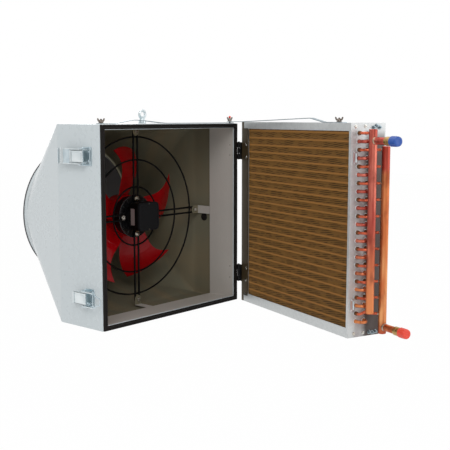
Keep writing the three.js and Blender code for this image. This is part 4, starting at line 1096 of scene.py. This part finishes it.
# ---------- hinges ----------
def knuckle(z0, z1):
    """A rolled hinge knuckle with rounded ends."""
    return turned(soften(corners(2.3, 5, z0, z1), 0.7, 3), (*PIVOT, 0), 28, "z")


def casing_leaf(z):
    """The leaf on the casing's side, with its two outer knuckles."""
    low, high = z - LEAF_HALF, z + LEAF_HALF
    plan = soften(corners(1.6, 44, low, high), [0.5, 4, 4, 0.5], 5)
    shapes = [prism(plan, 325.3, 327.3, "x"), block(325.4, 331.5, 1.1, 2.7, low, high)]
    for span in ((low, low + KNUCKLE), (high - KNUCKLE, high)):
        shapes += [block(325.4, 334, 1.1, 2.7, *span), knuckle(*span)]
    head = soften([(0, 330.4), (3.4, 329.8), (4.2, 327.6), (4.2, 327), (0, 327)], [0, 1.2, 0.3, 0, 0], 3)
    return shapes + [turned(head, (0, 22.5, z + offset), 20, "x") for offset in (-18, 18)]


def coil_leaf(z):
    """The leaf on the coil's frame, the middle knuckle with a thin arm to it, and the leaf's edge curled
    round the barrel; the part on the frame has the frame lip's dark olive, painted shade and reflection of
    the fins."""
    low, high = z - LEAF_HALF, z + LEAF_HALF
    plan = soften(corners(280, 322, low, high), [4, 0, 0, 4], 5)
    a = np.radians(np.linspace(222, 290, 18))
    around = np.column_stack([np.cos(a), np.sin(a)])
    curl = np.concatenate([PIVOT + 6.9 * around, PIVOT + 5.5 * around[::-1]])
    return [
        prism(plan, *LEAF_Y, "y", kind=1), block(322, 331, *LEAF_Y, low, high),
        block(320, 334, *LEAF_Y, z - 10, z + 10), knuckle(z - 10, z + 10), prism(curl, low, high),
    ]


def leaf_screws(z):
    """Two pan head screws with their washers on the coil's leaf."""
    shapes = []
    head = soften([(0, -4.9), (3.6, -5.1), (4.4, -6.2), (4.4, -6.7), (0, -6.7)], [0, 1.2, 0.2, 0, 0], 3)
    for at in ((291, 0, z - 21.5), (291, 0, z + 21.5)):
        shapes += [turned(head, at, 20), washer(6, 3, -6.6, -6.1, at)]
    return shapes


for which, z in FITTING_Z.items():
    piece(
        which + "_hinge_leaf_casing", "casing", [black_paint],
        casing_leaf(z), [which + "_casing_hinge_leaf"], bevel=0.3,
    )
    piece(
        which + "_hinge_leaf_coil", "coil_door", [black_paint, shaded_lip_olive],
        coil_leaf(z), [which + "_coil_hinge_leaf"], bevel=0.3,
    )
    piece(which + "_hinge_screws", "coil_door", [bright_steel], leaf_screws(z))


# ---------- coil ----------
def row_z(row):
    """The height of a row of tubes, counted from the top."""
    return TOP_ROW_Z - ROW_PITCH * row


def on_plate(outline, radii, y, z, sides, steps=3):
    """A section (radius, distance out of the connection plate) with soft corners, turned about a line square
    to the plate."""
    profile = soften(np.array(outline) + (0, PLATE), radii, steps) * [1, -1]
    return turned(profile, (0, y, z), sides, "x")


def fin_plates():
    """Thin upright plates at an even pitch across the coil."""
    count = int((FIN_TO - FIN_FROM) / FIN_PITCH)
    x = FIN_FROM + FIN_PITCH * (0.5 + np.arange(count))
    one = np.array([(side, y, z) for side in (-1, 1) for y in (-96.4, -10.4) for z in (4.0, 648.0)])
    points = np.tile(one, (count, 1, 1))
    points[:, :, 0] = x[:, None] + one[None, :, 0] * FIN_THICK / 2
    faces = np.array([[2, 3, 1, 0], [5, 7, 6, 4], [1, 5, 4, 0], [6, 7, 3, 2], [4, 6, 2, 0], [3, 7, 5, 1]])
    quads = (faces[None] + 8 * np.arange(count)[:, None, None]).reshape(-1, 4)
    return points.reshape(-1, 3), quads.tolist(), 0


def hairpin(start, steps, z):
    """The points of a bend from the front to the back column. steps gives, up to the middle, each point's
    distance from start along x and how far it is drawn in from the column; the rest mirrors them."""
    front = [(start + x, FRONT_COLUMN - inset, z) for x, inset in steps]
    return front + [(x, FRONT_COLUMN + BACK_COLUMN - y, z) for x, y, z in front[-2::-1]]


def coil_tubes():
    """Straight tubes through the fins, two columns of them, joined by hairpins at the hinge end."""
    shapes = []
    for z in map(row_z, range(ROWS)):
        for y in (FRONT_COLUMN, BACK_COLUMN):
            shapes.append(rod(4.8, (FIN_FROM, y, z), (FIN_TO - 1, y, z), 10))
        shapes.append(tube(curve(hairpin(FIN_TO - 1, ((0, 0), (9, 0), (16, 16)), z), 4), 4.8, 10))
    return shapes


def plate_bends():
    """The hairpins of every second row, outside the connection plate, each with a brazed collar."""
    shapes = []
    collar = [(4.5, 0.2), (6.6, 0.2), (6.2, 2.5), (5.9, 7), (5.2, 8.5), (4.5, 8.5)]
    for z in map(row_z, range(1, ROWS, 2)):
        bend = hairpin(-317, ((0, 0), (-9, 0), (-18, 3), (-25.5, 9), (-27, 16)), z)
        shapes.append(tube(curve(bend, 5), 5.0, 14))
        shapes += [on_plate(collar, 0.6, y, z, 18) for y in (FRONT_COLUMN, BACK_COLUMN)]
    return shapes


def tube_collars():
    """The drawn collar of each hole in the connection plate."""
    lip = [(5.3, 0.1), (8.2, 0.1), (6.6, 0.8), (6.2, 2.2), (5.3, 2.2)]
    holes = [(y, z) for z in map(row_z, range(ROWS)) for y in (FRONT_COLUMN, BACK_COLUMN)]
    return [on_plate(lip, 0.4, y, z, 16, steps=2) for y, z in holes]


def hinge_side_frame():
    """The hinge side of the frame: a wall between two lips; the front one is broad and dark olive beside the
    fins, painted shade and reflection of the fins."""
    wall, lip, broad, front = 323.5, 309, 280.5, (COIL_FACE - 1.5, COIL_FACE)
    return [
        block(wall, wall + 1.5, COIL_BACK, COIL_FACE, COIL_BOTTOM, COIL_TOP),
        block(broad, wall, *front, 20, 632, kind=1),
        block(lip, wall, *front, COIL_BOTTOM, 20, kind=1),
        block(lip, wall, *front, 632, COIL_TOP, kind=1),
        block(lip, wall, COIL_BACK, COIL_BACK + 1.5, COIL_BOTTOM, COIL_TOP),
    ]


piece(
    "hinge_side_frame", "coil_door", [galvanised, shaded_lip_olive],
    hinge_side_frame(), ["hinge_side_plate"],
)
piece("fin_plates", "coil_door", [fin_look], [fin_plates()], ["fin_coil"], crease=30)
piece("coil_tubes", "coil_door", [brown_copper], coil_tubes())
piece("plate_bends", "coil_door", [red_copper], plate_bends())


def header_pipes(y, low, high, stub_z):
    """A header pipe with domed ends, and the stub that leaves it square to the connection plate."""
    pipe = turned(soften(corners(0, 12.5, low, high), [0, 3, 3, 0], 5), (HEADER_X, y, 0), 36, "z")
    return [pipe, on_plate(corners(9.8, 11, 45, 106), 0.3, y, stub_z, 32, steps=2)]


def feeders(y, column, rows, low):
    """From tubes of a column, feeders with a swaged bulb curve across to the header at y, each with a braze
    cone where it meets the pipe. Tubes under the pipe's end low rise to it."""
    tubes, cones = [], []
    side = y - column
    for z in map(row_z, rows):
        rise = max(0.0, low + 8 - z)
        path = curve([
            (-317, column, z), (-327, column, z), (-337, column + 0.06 * side, z),
            (-347, column + 0.4 * side, z + 0.4 * rise), (-357, column + 0.85 * side, z + 0.9 * rise),
            (-362, y - 0.02 * side, z + rise),
        ], 6)
        bulb = np.exp(-(((-path[:, 0] - 325) / 6.5) ** 4))
        tubes.append(tube(path, 4.3 + 2.3 * bulb, 14))
        foot = np.array([-355, column + 0.72 * side, z + 0.8 * rise])
        cone = [foot, foot + [-2.5, 0.05 * side, 0], foot + [-5, 0.12 * side, 0]]
        cones.append(tube(cone, [4.6, 5.6, 6.6], 12))
    return tubes, cones


def nipple_shape(y, z):
    """The brass end: a collar with a bead, and the neck that the cap is pushed over."""
    outline = [
        (9, 106.3), (13, 106.3), (13.5, 108), (13.5, 117), (12.6, 118.5), (13.5, 120), (13.5, 129.2),
        (12, 129.8), (12, 150), (9, 150),
    ]
    return on_plate(outline, 0.6, y, z, 40)


def cap_shape(y, z):
    """A pushed-on plastic cap: thin wall, rolled mouth, faint grip ribs and a dished end."""
    outline = [
        (12.4, 130.4), (15.0, 130.4), (15.5, 131.6), (15.2, 134), (15.0, 154.5), (14.2, 158.6), (12, 160.2),
        (7, 160.2), (6, 159.5), (0, 159.5), (0, 157.2), (11.5, 157.2), (12.4, 156),
    ]
    shapes = [on_plate(outline, 0.4, y, z, 48)]
    for a in np.arange(12) * TURN / 12:
        ends = ((x, y + 15 * math.cos(a), z + 15 * math.sin(a)) for x in (-456, -472))
        shapes.append(rod(0.5, *ends, 6, edge=0.3))
    return shapes


SUPPLY_Y, SUPPLY_STUB, RETURN_Y, RETURN_STUB = COIL_FACE - 47, 602, COIL_FACE - 97, 34
for which, look, y, column, first, low, high, stub_z in (
    ("supply", red_copper, SUPPLY_Y, FRONT_COLUMN, 0, 80, 636, SUPPLY_STUB),
    ("return", orange_copper, RETURN_Y, BACK_COLUMN, 2, 12, 585, RETURN_STUB),
):
    tubes, cones = feeders(y, column, range(first, ROWS, 2), low)
    braze = [(10.5, 56.5), (12.6, 57), (12, 59.5), (11.2, 61.5), (10.5, 61.5)]
    brazing = [on_plate(braze, 0.8, y, stub_z, 24)] + cones
    pipes = header_pipes(y, low, high, stub_z)
    piece(which + "_manifold", "coil_door", [look], pipes, [which + "_header"])
    piece(which + "_feeders", "coil_door", [brown_copper], tubes)
    piece(which + "_brazing", "coil_door", [solder], brazing, crease=60)
for which, tone, look, *at in (
    ("supply", "blue", blue_plastic, SUPPLY_Y, SUPPLY_STUB),
    ("return", "red", red_cap_plastic, RETURN_Y, RETURN_STUB),
):
    nipple, cap = nipple_shape(*at), cap_shape(*at)
    piece(which + "_brass_end", "coil_door", [brass], [nipple], [which + "_nipple"])
    piece(tone + "_end_cap", "coil_door", [look], cap, [tone + "_cap"])


def keeper_shape(z):
    """A latch keeper: a plate riveted to the coil's end plate, with a rolled ridge that the bail catches."""
    y = COIL_FACE - 13.5
    plan = soften(corners(y - 7.5, y + 7.5, z - 20, z + 20), 3)
    head = [(0, 4.2), (2.6, 3.8), (3.0, 2.2), (0, 2.2)]
    return [
        prism(plan, -PLATE - 2.3, -PLATE - 0.3, "x"),
        rod(2.2, (-PLATE - 3.5, y - 5.3, z - 14), (-PLATE - 3.5, y - 5.3, z + 14), 16, edge=0.8),
        *(on_plate(head, [0, 0.9, 0.2, 0], y, z + offset, 18) for offset in (-16.5, 16.5)),
    ]


def frame_screws():
    """Sheet screws that hold the coil's frame together at its connection end, each on a washer."""
    shapes = []
    head = [(0, 2.4), (1.6, 2.4), (1.7, 3.4), (3.2, 3.2), (3.8, 1.6), (3.8, 0.2), (0, 0.2)]
    for depth, z in ((16.6, 643.5), (53, 644), (23, 10), (58.6, 9.6)):
        at = (0, COIL_FACE - depth, z)
        shapes += [on_plate(head, 0.5, *at[1:], 20), washer(5.4, 2.0, -PLATE - 0.9, -PLATE - 0.3, at, "x")]
    return shapes


def frame_nuts():
    """Bolt ends with a washer and a nut, in a cluster at each of the back corners of the connection plate."""
    shapes = []
    for depth, z in ((84, 640), (95, 645), (106, 641), (82, 9), (94, 6.5), (106, 8)):
        y = COIL_FACE - depth
        shapes += [
            washer(6.6, 2.6, -PLATE - 1.2, -PLATE - 0.3, (0, y, z), "x"),
            hexagon(8.6, (0, y, z), -PLATE - 6.8, -PLATE - 1.3, "x"),
            rod(2.4, (-PLATE - 10.5, y, z), (-PLATE, y, z), 14),
        ]
    return shapes


for which, z in FITTING_Z.items():
    piece(
        which + "_keeper_plate", "coil_door", [pale_zinc],
        keeper_shape(z), [which + "_keeper"], bevel=0.3,
    )
piece("frame_screws", "coil_door", [bright_steel], frame_screws())
piece("frame_nuts", "coil_door", [strap_zinc], frame_nuts())
piece("tube_collars", "coil_door", [galvanised], tube_collars())
piece(
    "coil_stud_thread", "coil_door", [steel],
    [stud_shape(*STAY_STUD, COIL_TOP, 16)], ["coil_stud"],
)
piece(
    "coil_wing_nut_cast", "coil_nut", [steel],
    wing_nut(*STAY_STUD, STAY_TOP, math.radians(20)), ["coil_wing_nut"], bevel=0.5,
)

# ---------- camera, floor and light ----------
VIEW_TURN = math.radians(49.148)
WHITE = (1, 1, 1, 1)


def camera():
    """The photograph's viewpoint: a lens of 68.57 mm on a 36 mm square, a little above the part's middle."""
    data = bpy.data.cameras.new("camera")
    data.lens, data.sensor_width = 68.57, 36.0
    data.clip_end = 60.0
    made = bpy.data.objects.new("camera", data)
    made.location = (-2.06635, -2.16418, -0.01105)
    made.rotation_euler = (math.radians(90 - 7.157), 0.0, -VIEW_TURN)
    bpy.context.scene.collection.objects.link(made)
    bpy.context.scene.camera = made


def floor():
    """A wide pale floor well below the hanging part: white to the camera away from the part's soft shadow."""
    mesh = bpy.data.meshes.new("floor")
    r, z = 30.0, -2.35
    mesh.from_pydata([(x, y, z) for x, y in corners(-r, r, -r, r)], [], [(0, 1, 2, 3)])
    look = Look("floor_white")
    grain = look.noise(2.0, 2.0)
    look.finish(look.mix(colour(246, 248, 249), colour(252, 253, 254), grain), 0.85 + grain * 0.1)
    seen = look.rays("Is Camera Ray", "Is Glossy Ray", "Is Transmission Ray")
    white = look.node("ShaderNodeEmission", {}, {"Color": WHITE, "Strength": 1.0})
    shaders = {0: seen * 0.985, 1: look.shader.outputs[0], 2: white.outputs[0]}
    blend = look.node("ShaderNodeMixShader", {}, shaders)
    look.feed(look.tree.nodes["Material Output"].inputs["Surface"], blend.outputs[0])
    mesh.materials.append(look.material)
    made = bpy.data.objects.new("floor", mesh)
    bpy.context.scene.collection.objects.link(made)


def world(level, dim):
    """A pale room that lights at level and shows white to the camera. To gloss it is white behind the object
    and falls to dim on the near side, where the photographer stands."""
    room = bpy.data.worlds.new("room")
    bpy.context.scene.world = room
    room.use_nodes = True
    sky = Nodes(room.node_tree)
    across, ahead, _ = sky.parts(sky.node("ShaderNodeTexCoord").outputs["Generated"])
    far = (across * math.sin(VIEW_TURN) + ahead * math.cos(VIEW_TURN)).over(-0.75, 0.35)
    glossy = far * (1.0 - dim) + dim
    seen, shiny = sky.rays("Is Camera Ray", "Is Transmission Ray"), sky.rays("Is Glossy Ray")
    background = sky.tree.nodes["Background"]
    sky.feed(background.inputs["Color"], WHITE)
    sky.feed(background.inputs["Strength"], seen + (1 - seen) * (shiny * glossy + (1 - shiny) * level))


def softbox(name, place, aim, size, power):
    """A square area lamp of a size in metres, turned to face aim."""
    data = bpy.data.lights.new(name, "AREA")
    data.shape, data.size, data.energy = "SQUARE", size, power
    made = bpy.data.objects.new(name, data)
    way = (Vector(aim) - Vector(place)).normalized()
    made.rotation_euler = way.to_track_quat("-Z", "Y").to_euler()
    made.location = place
    bpy.context.scene.collection.objects.link(made)


camera()
floor()
world(0.62, 0.4)
softbox("key", (-2.6, -2.2, 1.9), (0, 0, -0.4), 1.8, 42.0)
softbox("fill", (1.4, -3.4, 0.6), (0.1, -0.2, -0.4), 2.0, 22.0)
softbox("top", (0.2, 0.3, 2.4), (0, 0, -0.3), 2.0, 22.0)
softbox("back", (1.6, 2.8, 0.8), (0, 0.2, -0.3), 1.6, 20.0)
bpy.context.scene.view_settings.view_transform = "Standard"
